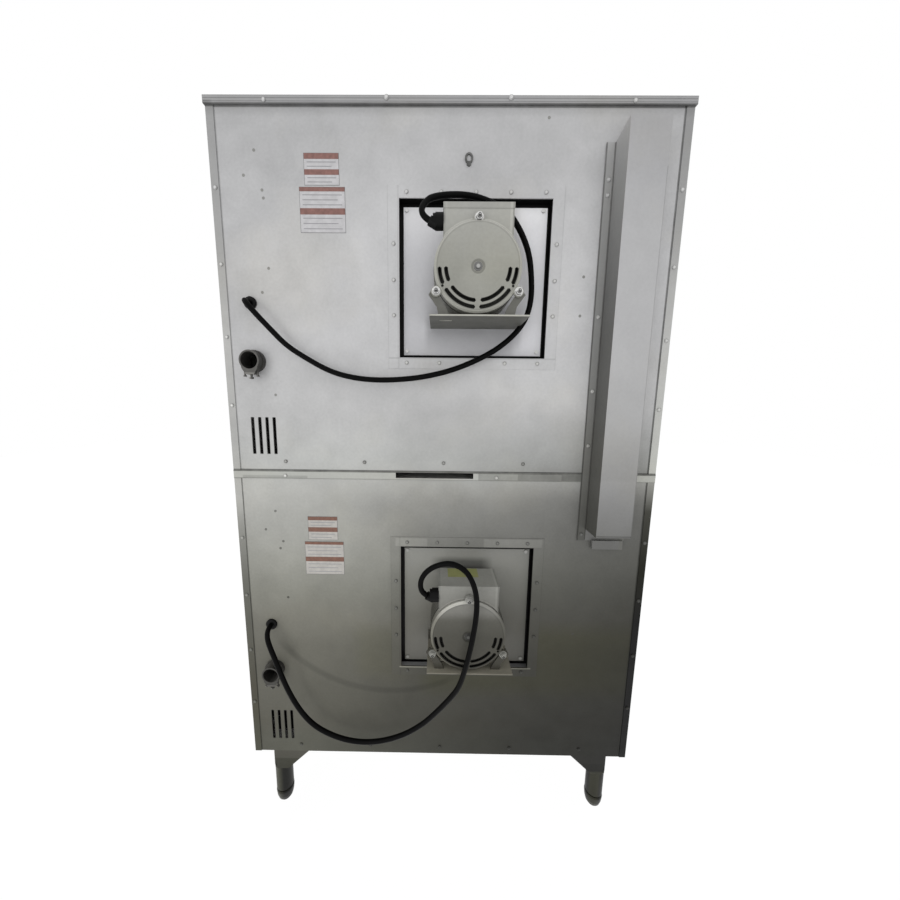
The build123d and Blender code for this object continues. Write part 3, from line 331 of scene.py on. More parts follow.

# dark bands of painted shade round each vent slot
VENTS = [
    ("x", (v - 4.0) / 1000.0, (v + 4.0) / 1000.0, 0.0004, 0.9, (("z", z0, z0 + 0.086),))
    for v in (453.7, 436.6, 419.5, 402.4) for z0 in (0.243, 1.033)]
# Back panels: mods paint lighter and darker patches of light and shade, and the lower cord's shadow on the lower panel
# (s and t).
mat_panel = sheet_metal("casing_sheet", PANEL, lines=EDGES + SEAMS + LOW_SEAMS + WINDOW + VENTS, mottle=1.6, mods=[
    (0.07, [("x", -0.37, -0.20, 0.06), ("z", 1.06, 1.56, 0.08)]),
    (-0.06, [("x", 0.24, 0.49, 0.05), ("z", 1.36, 1.60, 0.06)]),
    (-0.10, [("x", -0.22, 0.08, 0.06), ("z", 0.99, 1.13, 0.05)]),
    (0.16, [("x", 0.14, 0.24, 0.05), ("z", 0.60, 0.84, 0.06)]),
    (-0.20, [("s", 0.3610, 0.3690, 0.008), ("t", -112.0, -44.0, 8.0)]),
    (-0.09, [("s", 0.3560, 0.3660, 0.014), ("t", -44.0, -33.0, 5.0)]),
], olive=[
    (0.75, [("x", -0.50, 0.02, 0.05), ("z", 0.42, 0.56, 0.05)]),
    (0.28, [("x", 0.10, 0.20, 0.04), ("z", 0.46, 0.56, 0.04)]),
])
# side strips: the -X strip takes the darker ramp as painted shade
mat_strip = sheet_metal("strip_sheet", STRIP_L, shade_tilt=0.0, zones=[("x", -0.6, 0.0, 0.01, STRIP_R)], lines=SEAMS + LOW_SEAMS)
# Stacking trim: painted shade, with some dirt, in the joints above and below it, and darker bands along its lower part
mat_trim = sheet_metal("trim_sheet", TRIM, shade_tilt=0.12, lines=[
    ("z", 0.9900, 0.9950, 0.0008, 0.74, everywhere),
    ("z", 0.9722, 0.9742, 0.0006, 0.30, everywhere),
    ("z", 0.9735, 0.9790, 0.0020, 0.26, (("x", 0.330, 0.485), ("y", 0.35, 0.45))),
    ("z", 0.9740, 0.9900, 0.0020, 0.40, (("x", -0.346, -0.085), ("y", 0.35, 0.45))),
    ("z", 0.9750, 0.9880, 0.0030, 0.30, (("x", -0.346, -0.180), ("y", 0.35, 0.45))),
    ("z", 0.9760, 0.9880, 0.0030, 0.38, (("x", -0.340, -0.285), ("y", 0.35, 0.45))),
])
# Window recess frames: the panel ramp's painted shade, near black deeper than 2.2 mm into the recess; mods paint
# highlights on the lower deck's top flange and the lower flange's edge, dark lines at two edges, and light on the lower
# tray's floor.
mat_frame = sheet_metal("recess_sheet", PANEL, dark_inside=(REAR - 2.2) / 1000.0, tint=1.02, mottle=1.4, mods=[
    (0.22, [("z", 0.8045, 0.8240, 0.001), ("x", 0.040, 0.115, 0.004)]),
    (0.26, [("z", 0.8045, 0.8240, 0.001), ("x", -0.245, -0.105, 0.004)]),
    (-0.10, [("x", 0.1045, 0.1080, 0.0006)]),
    (-0.16, [("z", 1.2570, 1.2600, 0.0006)]),
    (1.9, [("z", 0.4668, 0.4702, 0.0006), ("x", -0.235, 0.108, 0.001), ("ny", 0.8, 1.1, 0.1)]),
    (90.0, [("z", 0.4660, 0.4695, 0.0004), ("y", (REAR - 17.0) / 1000.0, (REAR - 2.4) / 1000.0, 0.0006), ("nz", 0.7, 1.1, 0.1)]),
])
# Motor plates: the mods paint the shelf's shadow below it, shade round the upper motor on its +X side, light on the
# upper plate's -X side and on the lower plate, and the terminal box's shadow above it.
mat_plate = sheet_metal("plate_sheet", PLATE, shade_tilt=0.75, metallic=0.05, mottle=0.8, mods=[
    (-0.30, [("z", 1.318, 1.336, 0.050), ("x", -0.168, 0.038, 0.012)]),
    (-0.14, [("r", 0.0, 0.088, 0.030), ("z", 1.0, 1.8, 0.01), ("x", -0.080, 0.2, 0.020)]),
    (0.17, [("x", -0.230, -0.165, 0.014), ("z", 1.20, 1.60, 0.01)]),
    (0.14, [("z", 0.40, 0.80, 0.01)]),
    (-0.52, [("z", 0.738, 0.758, 0.014), ("x", -0.100, 0.000, 0.030)]),
])
# Top cover: painted shadow under its rear lip, painted shade in the lip's grooves, along its top edge and at its +X end
mat_cover = sheet_metal("cover_sheet", [(0.0, rgb(160, 160, 161)), (1.0, rgb(160, 160, 161))], metallic=0.12, lines=[
    ("z", 1.7655, 1.7682, 0.0006, 0.62, everywhere),
    ("z", 1.7703, 1.7713, 0.0005, 0.22, everywhere),
    ("z", 1.7761, 1.7771, 0.0005, 0.22, everywhere),
    ("z", 1.7812, 1.7832, 0.0006, 0.18, everywhere),
    ("x", 0.4950, 0.5120, 0.0060, 0.30, (("z", 1.764, 1.772),)),
])
# Flue duct: darker towards the bottom as painted shade, a darker ramp on its side wall as painted shade, ramps of their
# own on the two flanges, dark lines of painted shade along the flange edges and a painted shadow under the bottom tab
mat_duct = sheet_metal("duct_sheet", [
    (zt(800), rgb(118, 118, 116)), (zt(850), rgb(126, 126, 124)), (zt(900), rgb(138, 138, 137)), (zt(1000), rgb(156, 156, 156)),
    (zt(1100), rgb(170, 170, 170)), (zt(1300), rgb(181, 181, 182)), (zt(1500), rgb(178, 178, 179)), (zt(1700), rgb(166, 166, 168))],
    shade_tilt=0.12, zones=[
    ("x", -0.3506, -0.3502, 0.0001, [
        (zt(850), rgb(98, 98, 94)), (zt(900), rgb(102, 102, 98)), (zt(1000), rgb(106, 106, 103)), (zt(1150), rgb(108, 108, 106)),
        (zt(1300), rgb(114, 114, 112)), (zt(1400), rgb(124, 124, 123)), (zt(1500), rgb(138, 138, 137)), (zt(1600), rgb(152, 152, 151)),
        (zt(1660), rgb(162, 162, 162)), (zt(1710), rgb(176, 176, 176))]),
    ("x", -0.3502, -0.3000, 0.0001, [
        (zt(850), rgb(102, 102, 98)), (zt(950), rgb(118, 118, 114)), (zt(1100), rgb(132, 132, 130)), (zt(1200), rgb(142, 142, 140)),
        (zt(1400), rgb(154, 154, 153)), (zt(1600), rgb(162, 162, 161)), (zt(1700), rgb(170, 170, 170))]),
    ("x", -0.4700, -0.4309, 0.0001, [
        (zt(850), rgb(120, 120, 116)), (zt(950), rgb(142, 142, 139)), (zt(985), rgb(180, 180, 178)), (zt(1100), rgb(188, 188, 188)),
        (zt(1300), rgb(190, 190, 190)), (zt(1500), rgb(184, 184, 184)), (zt(1700), rgb(176, 176, 176))]),
    ], lines=[
    ("x", -0.3330, -0.3300, 0.0008, 0.62, (("z", 0.82, 1.71),)),
    ("x", -0.3504, -0.3484, 0.0008, 0.55, (("z", 0.83, 1.72), ("y", REAR / 1000.0 - 0.003, REAR / 1000.0 + 0.003))),
    ("x", -0.4312, -0.4296, 0.0006, 0.28, (("z", 0.85, 1.62),)),
    ("z", 0.8560, 0.8585, 0.0010, 0.45, (("x", -0.432, -0.352),)),
])


def plain(name, color, metallic=0.0, rough=0.5, var=0.0, scale=30.0, coat=0.0, spec=None):
    m, nt, b = new_mat(name)
    if var > 0:
        co, x, y, z = coords(nt)
        f = maprange(nt, noise(nt, co, scale, 4.0, 0.6), 0.3, 0.7, 0.0, 1.0)
        dark = tuple(max(0.0, ch * (1 - var)) for ch in color[:3]) + (1.0,)
        lite = tuple(min(1.0, ch * (1 + var)) for ch in color[:3]) + (1.0,)
        nt.links.new(mixc(nt, f, dark, lite), b.inputs["Base Color"])
    else:
        b.inputs["Base Color"].default_value = color
    b.inputs["Metallic"].default_value = metallic
    b.inputs["Roughness"].default_value = rough
    if spec is not None:
        b.inputs["Specular IOR Level"].default_value = spec
    if coat:
        b.inputs["Coat Weight"].default_value = coat
        b.inputs["Coat Roughness"].default_value = 0.15
    return m


# Motor tone ramp: its darkening towards the bottom is painted shade.
MOTOR = [
    (0.0, rgb(80, 79, 74)), (zt(540), rgb(92, 90, 83)), (zt(630), rgb(99, 98, 91)), (zt(670), rgb(112, 111, 104)), (zt(690), rgb(150, 149, 143)), (zt(740), rgb(166, 166, 160)),
    (zt(1290), rgb(146, 146, 140)), (zt(1420), rgb(152, 152, 145)), (zt(1540), rgb(168, 168, 164))]
# painted shade that widens the end covers' vent slots
SLOT_SHADE = [
    (-0.93, [("r", 0.0750 - 0.0037, 0.0750 + 0.0037, 0.0004), ("a", lo, hi, 0.3)])
    for lo, hi in ((-177.7, -155.6), (-146.0, -94.6), (-85.4, -34.0), (-24.4, -2.3))] + [
    (-0.93, [("r", 0.0625 - 0.0037, 0.0625 + 0.0037, 0.0004), ("a", lo, hi, 0.3)])
    for lo, hi in ((-177.7, -155.5), (-143.0, -97.5), (-85.5, -37.0), (-24.5, -2.3))]
# End covers and terminal boxes: painted shade round the hub and in the rim's groove, painted highlights on the rim and
# on the lower cover's rim, painted light on the lower box's top, painted shade and highlight at the boxes' side edges,
# and a painted shadow under the upper box's lid
mat_motor = sheet_metal("motor_sheet", MOTOR, shade_tilt=0.5, metallic=0.12, rough=0.45, mottle=1.6, mods=[
    (-0.34, [("r", 0.0105, 0.0135, 0.0006)]),
    (-0.14, [("r", 0.0788, 0.0806, 0.0008)]),
    (0.30, [("r", 0.0818, 0.0900, 0.0006), ("ny", 0.2, 1.1, 0.1)]),
    (0.75, [("r", 0.0815, 0.0862, 0.0006), ("a", -60.0, 92.0, 8.0), ("z", 0.5, 0.8, 0.01), ("x", -0.07, 0.1, 0.02)]),
    (0.12, [("nz", 0.6, 1.1, 0.1), ("z", 0.70, 0.80, 0.01)]),
    (-0.22, [("x", -0.1290, -0.1255, 0.0008), ("r", 0.09, 0.5, 0.002)]),
    (0.16, [("x", -0.1245, -0.1205, 0.0010), ("r", 0.09, 0.5, 0.002)]),
    (-0.18, [("x", 0.0050, 0.0090, 0.0008), ("r", 0.09, 0.5, 0.002)]),
    (-0.10, [("z", 1.5265, 1.5400, 0.002), ("x", -0.125, 0.0, 0.004)]),
] + SLOT_SHADE)
# Motor housings: a darker copy of the motor tone and a near black rear end face behind the cover's slots, both painted
# shade
mat_stator = sheet_metal("stator_sheet", MOTOR, shade_tilt=0.5, metallic=0.12, rough=0.45, tint=0.8, lines=[
    ("y", (REAR + 66.2) / 1000.0, (REAR + 70.0) / 1000.0, 0.0004, 0.97, everywhere)])
# Motor shelves: a darker copy of the motor tone; painted shade on undersides and on the upper deck's straps, painted
# light on the lower shelf's top face and on the lower straps, painted highlights on the shelves' front edges
mat_shelf = sheet_metal("shelf_sheet", MOTOR, shade_tilt=0.5, metallic=0.12, rough=0.45, tint=0.86, mottle=1.8, mods=[
    (-0.46, [("nz", -1.1, -0.8, 0.1)]),
    (3.7, [("nz", 0.8, 1.1, 0.1), ("z", 0.50, 0.60, 0.01)]),
    (0.75, [("z", 1.3268, 1.3302, 0.0002), ("ny", 0.8, 1.1, 0.1)]),
    (2.4, [("z", 0.5368, 0.5402, 0.0002), ("ny", 0.8, 1.1, 0.1)]),
    (-0.45, [("z", 1.3305, 1.3720, 0.004), ("y", (REAR + 81.0) / 1000.0, (REAR + 88.0) / 1000.0, 0.001)]),
    (0.10, [("z", 0.5405, 0.5820, 0.004), ("y", (REAR + 81.0) / 1000.0, (REAR + 88.0) / 1000.0, 0.001)]),
])
# Screw tone ramp: its darkening towards the bottom is painted shade.
SCREW = [
    (0.0, rgb(104, 104, 97)), (zt(600), rgb(130, 130, 124)), (zt(800), rgb(164, 164, 159)), (zt(970), rgb(206, 206, 202)),
    (zt(1700), rgb(208, 208, 208))]
# Screws: darker in two bands and one patch, painted shade on the heads' rims and -X sides, dimmer round the upper
# window
mat_screw = sheet_metal("screw_steel", SCREW, metallic=0.3, rough=0.36, mottle=0.5, lines=[
    ("z", 1.0085, 1.0205, 0.0008, 0.62, everywhere),
    ("z", 0.2185, 0.2305, 0.0008, 0.50, everywhere),
    ("z", 1.6500, 1.6840, 0.0010, 0.94, (("x", -0.056, -0.033),)),
], mods=[
    (-0.30, [("ny", -1.1, 0.90, 0.05)]),
    (-0.25, [("nx", -1.1, -0.25, 0.20)]),
    (-0.08, [("x", -0.240, 0.120, 0.004), ("z", 1.240, 1.612, 0.004)]),
])
# Bright fasteners: darker towards the bottom as painted shade, a painted reflection as a dark ring on the nuts' sloping
# faces, painted shade on downward faces, a darker hub nut with a painted highlight at its centre, darker in two columns
mat_bright = sheet_metal("bright_steel", [
    (0.0, rgb(150, 150, 144)), (zt(600), rgb(176, 176, 170)), (zt(800), rgb(204, 204, 200)), (zt(1290), rgb(228, 228, 226)),
    (zt(1700), rgb(234, 234, 234))], shade_tilt=0.35, metallic=0.45, rough=0.3, mottle=0.4, mods=[
    (-0.86, [("ny", 0.78, 0.965, 0.04)]),
    (-0.72, [("nz", -1.1, -0.30, 0.25)]),
    (-0.74, [("r", 0.0, 0.0115, 0.0004)]),
    (1.2, [("r", 0.0, 0.0030, 0.0010)]),
    (-0.12, [("x", -0.240, -0.190, 0.004)]),
    (-0.12, [("x", 0.070, 0.100, 0.004)]),
])
mat_inner = plain("inner_sheet", rgb(150, 150, 150), 0.4, 0.45, 0.12, 14.0)
mat_pan = plain("pan_sheet", rgb(222, 222, 220), 0.1, 0.5, 0.08, 14.0)
mat_stainless = plain("stainless_front", rgb(184, 184, 186), 0.6, 0.36, 0.07, 9.0)
mat_enamel = plain("enamel", rgb(46, 50, 58), 0.0, 0.32, 0.25, 120.0, 0.3)
mat_wool = plain("mineral_wool", rgb(206, 194, 150), 0.0, 0.95, 0.15, 200.0)
mat_element = plain("element_sheath", rgb(70, 62, 58), 0.6, 0.5, 0.2, 60.0)
mat_wire = plain("rack_wire", rgb(196, 196, 196), 0.85, 0.25)
mat_cord = plain("cord_jacket", rgb(12, 12, 13), 0.0, 0.45, 0.2, 40.0, spec=0.06)
mat_black = plain("black_moulded", rgb(16, 16, 17), 0.0, 0.5, 0.2, 60.0, spec=0.14)
# Glands: painted light on +X faces and painted shade on -X faces, painted highlights on the clamps below each gland
mat_cast = sheet_metal("die_cast", [(0.0, rgb(80, 79, 76)), (1.0, rgb(98, 97, 95))], shade_tilt=0.0, metallic=0.3, rough=0.4, mottle=4.0, mods=[
    (-0.45, [("nx", -1.1, -0.35, 0.30)]),
    (0.45, [("nx", 0.35, 1.1, 0.30)]),
    (0.90, [("z", 1.2080, 1.2200, 0.002), ("y", (REAR + 20.0) / 1000.0, (REAR + 60.0) / 1000.0, 0.002)]),
    (0.80, [("z", 0.4180, 0.4300, 0.002), ("y", (REAR + 20.0) / 1000.0, (REAR + 60.0) / 1000.0, 0.002)]),
])
mat_seal = plain("door_seal", rgb(24, 24, 26), 0.0, 0.6)
mat_knob = plain("knob", rgb(22, 22, 24), 0.0, 0.35)
mat_lamp = plain("lamp_lens", rgb(226, 128, 36), 0.0, 0.2)
# Leg tone ramp: darker low down as painted shade.
LEG = [(0.0, rgb(40, 40, 34)), (0.02, rgb(60, 60, 52)), (0.5, rgb(67, 67, 58)), (0.70, rgb(72, 72, 63)), (0.72, rgb(88, 87, 79)), (1.0, rgb(97, 95, 87))]
# painted light and shade round the legs and feet: +X faces lit and -X faces shaded on the +X legs, both edges shaded on
# the -X legs
ROUND_SHADING = [
    (-0.88, [("nx", -1.1, -0.28, 0.35), ("x", 0.0, 0.6, 0.01)]),
    (0.50, [("nx", 0.40, 1.1, 0.30), ("x", 0.0, 0.6, 0.01)]),
    (-0.86, [("nx", -1.1, -0.25, 0.30), ("x", -0.6, -0.01, 0.01)]),
    (-0.86, [("nx", 0.42, 1.1, 0.30), ("ny", -1.1, 0.30, 0.30), ("x", -0.6, -0.01, 0.01)]),
]
mat_leg = sheet_metal("foot_paint", [(0.0, rgb(62, 62, 55)), (1.0, rgb(54, 54, 47))], shade_tilt=0.0, metallic=0.1, rough=0.38, z0=0.0, z1=0.06, mods=ROUND_SHADING)
# the -X leg darker as painted shade, with a painted highlight down its tube
mat_bracket = sheet_metal("leg_bracket", LEG, shade_tilt=1.0, metallic=0.1, rough=0.42, z0=0.04, z1=0.203, mods=ROUND_SHADING + [
    (4.4, [("x", -0.50, -0.40, 0.01), ("z", -0.1, 0.126, 0.006)]),
])
mat_white = plain("dial_mark", rgb(236, 236, 232), 0.0, 0.5)
mat_label = plain("label_pale", rgb(190, 189, 191), 0.0, 0.5, 0.10, 90.0)
# darker copies for the lower deck's labels, as painted shade
mat_label_shaded = plain("label_pale_shaded", rgb(178, 175, 170), 0.0, 0.5, 0.12, 90.0)
mat_header = plain("label_header", rgb(132, 98, 92), 0.0, 0.55, 0.22, 110.0)
mat_header_shaded = plain("label_header_shaded", rgb(120, 88, 76), 0.0, 0.55, 0.22, 110.0)
mat_border = plain("label_border", rgb(112, 111, 112), 0.0, 0.55)
mat_band = plain("label_line", rgb(146, 145, 148), 0.0, 0.55, 0.10, 120.0)
mat_patch = plain("patch_green", rgb(140, 142, 96), 0.0, 0.5, 0.1, 60.0)

glass, gnt, gb = new_mat("door_pane")
gb.inputs["Base Color"].default_value = rgb(150, 160, 160)
gb.inputs["Roughness"].default_value = 0.04
gb.inputs["Transmission Weight"].default_value = 0.9
gb.inputs["IOR"].default_value = 1.45
gb.inputs["Alpha"].default_value = 0.45


def assign(mat, *names):
    for n in names:
        o = N[n]
        o.data.materials.clear()
        o.data.materials.append(mat)


assign(mat_panel, "upper_back_panel", "lower_back_panel")
assign(mat_strip, "side_panels")
assign(mat_trim, "stacking_trim")
assign(mat_cover, "top_cover")
assign(mat_frame, "motor_recess_frames")
assign(mat_plate, "motor_plates")
assign(mat_duct, "flue_duct")
assign(mat_pan, "deck_inner_sheets")
assign(mat_inner, "fan_baffles", "upper_blower_wheel", "lower_blower_wheel")
assign(mat_stainless, "front_frames", "control_panels", "hinge_brackets")
assign(mat_enamel, "upper_cavity_liner", "lower_cavity_liner")
assign(mat_wool, "insulation_blankets")
assign(mat_element, "heating_elements")
assign(mat_wire, "rack_guides", "upper_top_rack", "upper_bottom_rack", "lower_top_rack", "lower_bottom_rack")
assign(mat_motor, "motor_end_covers", "motor_terminal_boxes")
assign(mat_stator, "motor_housings")
assign(mat_shelf, "motor_mount_brackets")
assign(mat_bright, "motor_fasteners")
assign(mat_screw, "casing_screws")
assign(mat_black, "cord_fittings", "control_components")
assign(mat_cast, "supply_cable_glands")
assign(mat_seal, "door_seals")
assign(mat_lamp, "indicator_lamps")
assign(mat_leg, "rear_left_foot", "rear_right_foot", "front_left_foot", "front_right_foot")
assign(mat_bracket, "leg_brackets")
for d in ("upper", "lower"):
    assign(mat_knob, d + "_thermostat_knob", d + "_timer_knob", d + "_power_rocker")
    for s in ("left", "right"):
        assign(mat_stainless, f"{d}_{s}_door_shell", f"{d}_{s}_door_handle")
        assign(glass, f"{d}_{s}_door_glass")


# ------------------------------------------------------------------ pieces
def mesh_piece(name, verts, faces, mat, body="oven", smooth=False):
    me = bpy.data.meshes.new(name)
    me.from_pydata([tuple(v) for v in verts], [], faces)
    me.update()
    if smooth:
        for p in me.polygons:
            p.use_smooth = True
    ob = bpy.data.objects.new(name, me)
    scene.collection.objects.link(ob)
    me.materials.append(mat)
    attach(ob, body)
    return ob


def boxes(list_of):
    """Closed boxes as one vertex and face list: x0, x1, c0, c1, z0, z1 in mm."""
    vs, fs = [], []
    for x0, x1, c0, c1, z0, z1 in list_of:
        k = len(vs)
        for x in (x0, x1):
            for c in (c0, c1):
                for z in (z0, z1):
                    vs.append(P(x, c, z))
        for f in ((0, 1, 3, 2), (4, 6, 7, 5), (0, 4, 5, 1), (2, 3, 7, 6), (0, 2, 6, 4), (1, 5, 7, 3)):
            fs.append(tuple(k + i for i in f))
    return vs, fs


def discs(list_of, n=20):
    """Short upright discs facing the rear: x, c outer, c inner, z, radius."""
    vs, fs = [], []
    for x, c0, c1, z, r in list_of:
        k = len(vs)
        for c in (c0, c1):
            for i in range(n):
                a = 2 * math.pi * i / n
                vs.append(P(x + r * math.cos(a), c, z + r * math.sin(a)))
        fs.append(tuple(k + i for i in range(n)))
        fs.append(tuple(k + n + i for i in reversed(range(n))))
        for i in range(n):
            j = (i + 1) % n
            fs.append((k + i, k + n + i, k + n + j, k + j))
    return vs, fs


# Cords: smooth splines through the route that the solid model uses.
upper_route = [
    (35.0, -74.5, 516.5), (46.5, -74.5, 523.0), (52.5, -71.5, 538.0), (45.5, -64.0, 554.5),
    (31.5, -55.5, 570.0), (-13.0, -33.5, 587.5), (-57.5, -16.0, 594.5), (-103.5, -8.0, 583.5),
    (-130.5, -8.0, 568.5), (-149.0, -9.0, 544.0), (-165.0, -10.0, 516.5), (-178.5, -11.0, 482.0),
    (-184.5, -12.0, 441.5), (-187.5, -12.0, 397.0), (-180.5, -13.0, 358.0), (-164.0, -14.5, 328.0),
    (-129.5, -19.0, 294.0), (-84.5, -22.0, 265.5), (-20.0, -24.5, 237.5), (43.5, -24.0, 222.0),
    (96.5, -23.0, 215.5), (148.0, -22.0, 213.5), (200.0, -21.0, 217.0), (256.5, -20.0, 230.5),
    (313.5, -20.0, 261.5), (354.5, -21.0, 288.0), (383.0, -25.5, 319.0), (407.0, -31.0, 346.0),
    (424.0, -35.0, 366.5), (435.5, -30.5, 379.5), (439.7, -17.5, 382.6), (439.7, -4.0, 382.6),
]
lower_route = [
    (35.0, -74.5, 516.5), (46.0, -76.0, 523.0), (51.5, -78.5, 545.5), (44.5, -84.0, 571.0),
    (25.5, -90.0, 592.5), (2.5, -97.0, 605.0), (-19.5, -103.0, 610.0), (-41.5, -108.5, 602.5),
    (-57.5, -111.0, 586.5), (-69.5, -113.5, 559.0), (-75.0, -113.0, 528.0), (-74.0, -113.0, 489.5),
    (-69.0, -113.0, 448.0), (-62.5, -112.0, 407.0), (-54.0, -111.0, 365.5), (-41.5, -102.0, 307.5),
    (-23.0, -92.5, 269.5), (6.0, -79.0, 220.0), (44.5, -66.0, 165.0), (100.5, -53.5, 115.5),
    (165.5, -44.5, 86.5), (225.5, -38.5, 80.0), (279.5, -35.5, 93.0), (328.0, -35.0, 122.0),
    (361.5, -34.5, 164.0), (386.5, -37.0, 220.0), (402.5, -40.0, 273.0), (417.0, -39.5, 320.0),
    (427.5, -38.5, 350.0), (435.5, -33.0, 369.5), (439.7, -20.0, 382.6), (439.7, -4.0, 382.6),
]


def make_cords():
    for nm, cad, route, base, length in (
        ("cord_upper", "upper_motor_cord", upper_route, UP, 1.215),
        ("cord_lower", "lower_motor_cord", lower_route, LOW, 1.26),
    ):
        cu = bpy.data.curves.new(nm, "CURVE")
        cu.dimensions = "3D"
        sp = cu.splines.new("NURBS")
        sp.points.add(len(route) - 1)
        for p, (x, c, r) in zip(sp.points, route):
            q = P(x, c, base + r)
            p.co = (q.x, q.y, q.z, 1.0)
        sp.order_u = 3
        sp.use_endpoint_u = True
        sp.resolution_u = 6
        cu.bevel_depth = 0.006
        cu.bevel_resolution = 5
        cu.use_fill_caps = True
        ob = bpy.data.objects.new(nm, cu)
        scene.collection.objects.link(ob)
        cu.materials.append(mat_cord)
        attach(ob, "oven")
        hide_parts(cad)
        x, c, r = route[0]


make_cords()

# Blank rating plates: pale fields under plain bands.
up_labels = [(305.8, 232.2, 685.2, 674.2, 654.4, 643.8, 624.3), (318.1, 220.8, 619.9, 611.7, 578.6, 566.1, 530.3)]
lo_labels = [(332.9, 260.9, 673.5, 664.5, 646.4, 634.8, 614.4), (342.8, 247.1, 608.5, 601.4, 568.9, 556.9, 523.2)]
for nm, labels, base, pale, head in (("upper", up_labels, UP, mat_label, mat_header), ("lower", lo_labels, LOW, mat_label_shaded, mat_header_shaded)):
    plates, heads, rims, inner = [], [], [], []
    for x1, x0, a, b, c, d, e in labels:
        rims.append((x0 - 0.8, x1 + 0.8, 1.5, 1.25, base + e - 0.8, base + a + 0.8))
        plates.append((x0, x1, 1.3, 1.1, base + e, base + a))
        heads += [(x0, x1, 1.15, 0.95, base + b, base + a), (x0, x1, 1.15, 0.95, base + d, base + c)]
        for z1, z0 in ((b, c), (d, e)):
            rows = 3 if z1 - z0 > 25 else 2
            for i in range(rows):
                zc = z1 + (z0 - z1) * (i + 0.7) / (rows + 0.4)
                inner.append((x0 + 6 + 9 * (i % 2), x1 - 6, 1.1, 1.02, base + zc - 0.8, base + zc + 0.8))
    v, f = boxes(rims)
    mesh_piece(nm + "_label_rims", v, f, mat_border)
    v, f = boxes(plates)
    mesh_piece(nm + "_label_plates", v, f, pale)
    v, f = boxes(heads)
    mesh_piece(nm + "_label_bands", v, f, head)
    v, f = boxes(inner)
    mesh_piece(nm + "_label_lines", v, f, mat_band)

# Blank patch on the lower deck's terminal box.
v, f = boxes([(-86, -13.5, -44, -4, LOW + 545.3, LOW + 545.7)])
mesh_piece("terminal_box_patch", v, f, mat_patch)

# Spot marks pressed in the panels, drawn as flat discs whose tone stands for the dents' shading, darker lower down as
# painted shade.
up_d = [(411.6, 690.8), (437, 642.7), (399, 614.1), (397, 598.4), (394.4, 456.4), (411.8, 405.8), (395.2, 179.1), (-303.7, 443.1), (-301.3, 360.7), (-209.3, 753.1)]
lo_d = [(412.7, 686.8), (439.3, 639.3), (397.4, 608.8), (405.4, 590.2), (393.3, 457.7), (-339.6, 367.1)]
v, f = discs([(x, 1.35, 1.6, UP + r, 3.2) for x, r in up_d] + [(x, 1.35, 1.6, LOW + r, 3.2) for x, r in lo_d])
mesh_piece("panel_spot_marks", v, f, sheet_metal("spot_mark", [(0.0, rgb(52, 52, 48)), (zt(700), rgb(96, 96, 90)), (zt(1000), rgb(142, 142, 139)), (1.0, rgb(142, 142, 139))], shade_tilt=0.3))

# Front knobs' pointer lines.
for d, base in (("upper", UP), ("lower", LOW)):
    for kn, r, rad in (("thermostat", 500.0, 30.0), ("timer", 345.0, 26.0)):
        yk = (REAR - 860.0 - 14.0 - 1.0 - 26.0)
        v, f = boxes([(429.2, 430.8, REAR - yk - 0.2, REAR - yk + 0.4, base + r + 4, base + r + rad - 6)])
        mesh_piece(f"{d}_{kn}_pointer", v, f, mat_white, body=f"{d}_{kn}_knob")

# Dial scales round the knobs, and the bar and ring beside each rocker.
FASCIA = 874.0


def dial(x, z, r0, r1, sweep, steps):
    """Tick marks that start at the top and run clockwise, as quads with depth."""
    vs, fs = [], []
    for i in range(steps + 1):
        a = math.radians(sweep * i / steps)
        ux, uz = math.sin(a), math.cos(a)
        half = 0.75 if i in (0, steps) else 0.45
        out = r1 + (1.5 if i % 5 == 0 else 0.0)
        k = len(vs)
        for c in (FASCIA - 0.1, FASCIA + 0.25):
            for rr, w in ((r0, -half), (r0, half), (out, half), (out, -half)):
                vs.append(P(x + rr * ux + w * uz, c, z + rr * uz - w * ux))
        for f in ((0, 1, 2, 3), (7, 6, 5, 4), (0, 4, 5, 1), (1, 5, 6, 2), (2, 6, 7, 3), (3, 7, 4, 0)):
            fs.append(tuple(k + j for j in f))
    return vs, fs


def ring(x, z, r0, r1, c0, c1, n=28):
    """Flat ring with depth, facing the door side."""
    vs, fs = [], []
    for i in range(n):
        a = 2 * math.pi * i / n
        for c in (c0, c1):
            for r in (r0, r1):
                vs.append(P(x + r * math.cos(a), c, z + r * math.sin(a)))
    for i in range(n):
        a, b = 4 * i, 4 * ((i + 1) % n)
        for j, k in ((0, 1), (3, 2), (1, 3), (2, 0)):
            fs.append((a + j, a + k, b + k, b + j))
    return vs, fs


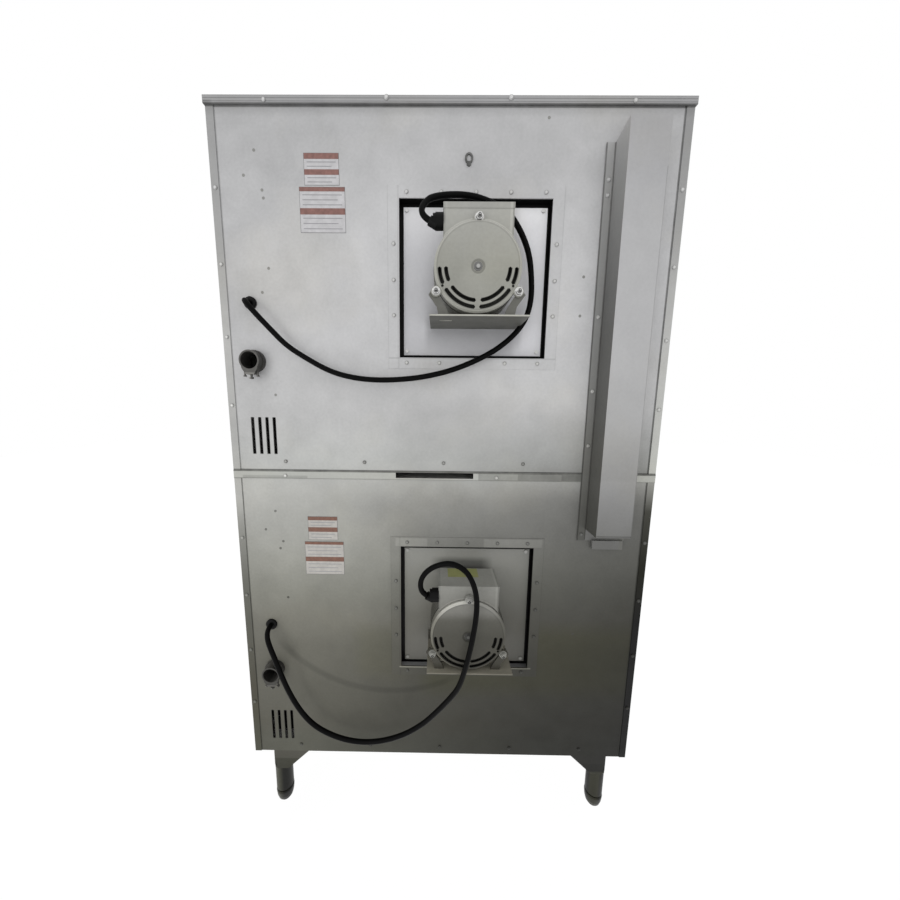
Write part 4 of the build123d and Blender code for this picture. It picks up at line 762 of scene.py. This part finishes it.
mat_ink = plain("fascia_ink", rgb(34, 34, 36), 0.0, 0.6)
for d, base in (("upper", UP), ("lower", LOW)):
    v, f = dial(430.0, base + 500, 34.0, 39.0, 270.0, 10)
    mesh_piece(d + "_thermostat_scale", v, f, mat_ink)
    v, f = dial(430.0, base + 345, 30.0, 34.5, 300.0, 10)
    mesh_piece(d + "_timer_scale", v, f, mat_ink)
    v, f = ring(430.0, base + 640 - 33, 2.2, 3.2, FASCIA - 0.1, FASCIA + 0.25)
    mesh_piece(d + "_off_ring", v, f, mat_ink)
    v, f = boxes([(429.4, 430.6, FASCIA - 0.1, FASCIA + 0.25, base + 640 + 30, base + 640 + 36.5)])
    mesh_piece(d + "_on_bar", v, f, mat_ink)

# ------------------------------------------------------------------- stage
world = bpy.data.worlds.new("studio")
scene.world = world
world.use_nodes = True
world.node_tree.nodes["Background"].inputs[0].default_value = (1.0, 1.0, 1.0, 1.0)
world.node_tree.nodes["Background"].inputs[1].default_value = 1.0
scene.view_settings.view_transform = "Standard"


def area(name, loc, target, size, power):
    ld = bpy.data.lights.new(name, "AREA")
    ld.shape = "DISK"
    ld.size = size
    ld.energy = power
    ob = bpy.data.objects.new(name, ld)
    scene.collection.objects.link(ob)
    ob.location = loc
    ob.rotation_euler = (Vector(target) - Vector(loc)).to_track_quat("-Z", "Y").to_euler()
    return ob


floor_mat, floor_nt, floor_b = new_mat("floor_white")
floor_b.inputs["Base Color"].default_value = (0.08, 0.08, 0.08, 1.0)
floor_b.inputs["Roughness"].default_value = 1.0
floor_b.inputs["Specular IOR Level"].default_value = 0.0
floor_b.inputs["Emission Color"].default_value = (1.0, 1.0, 1.0, 1.0)
floor_b.inputs["Emission Strength"].default_value = 0.94
floor_me = bpy.data.meshes.new("floor")
floor_me.from_pydata([(-9, -9, -0.0362), (9, -9, -0.0362), (9, 9, -0.0362), (-9, 9, -0.0362)], [], [(0, 1, 2, 3)])
floor_me.materials.append(floor_mat)
floor = bpy.data.objects.new("floor", floor_me)
scene.collection.objects.link(floor)

area("key", (2.2, 3.4, 0.9), (0, 0.43, 1.1), 1.4, 14)
area("front_fill", (-1.5, -4.0, 2.4), (0, -0.4, 0.9), 2.5, 45)
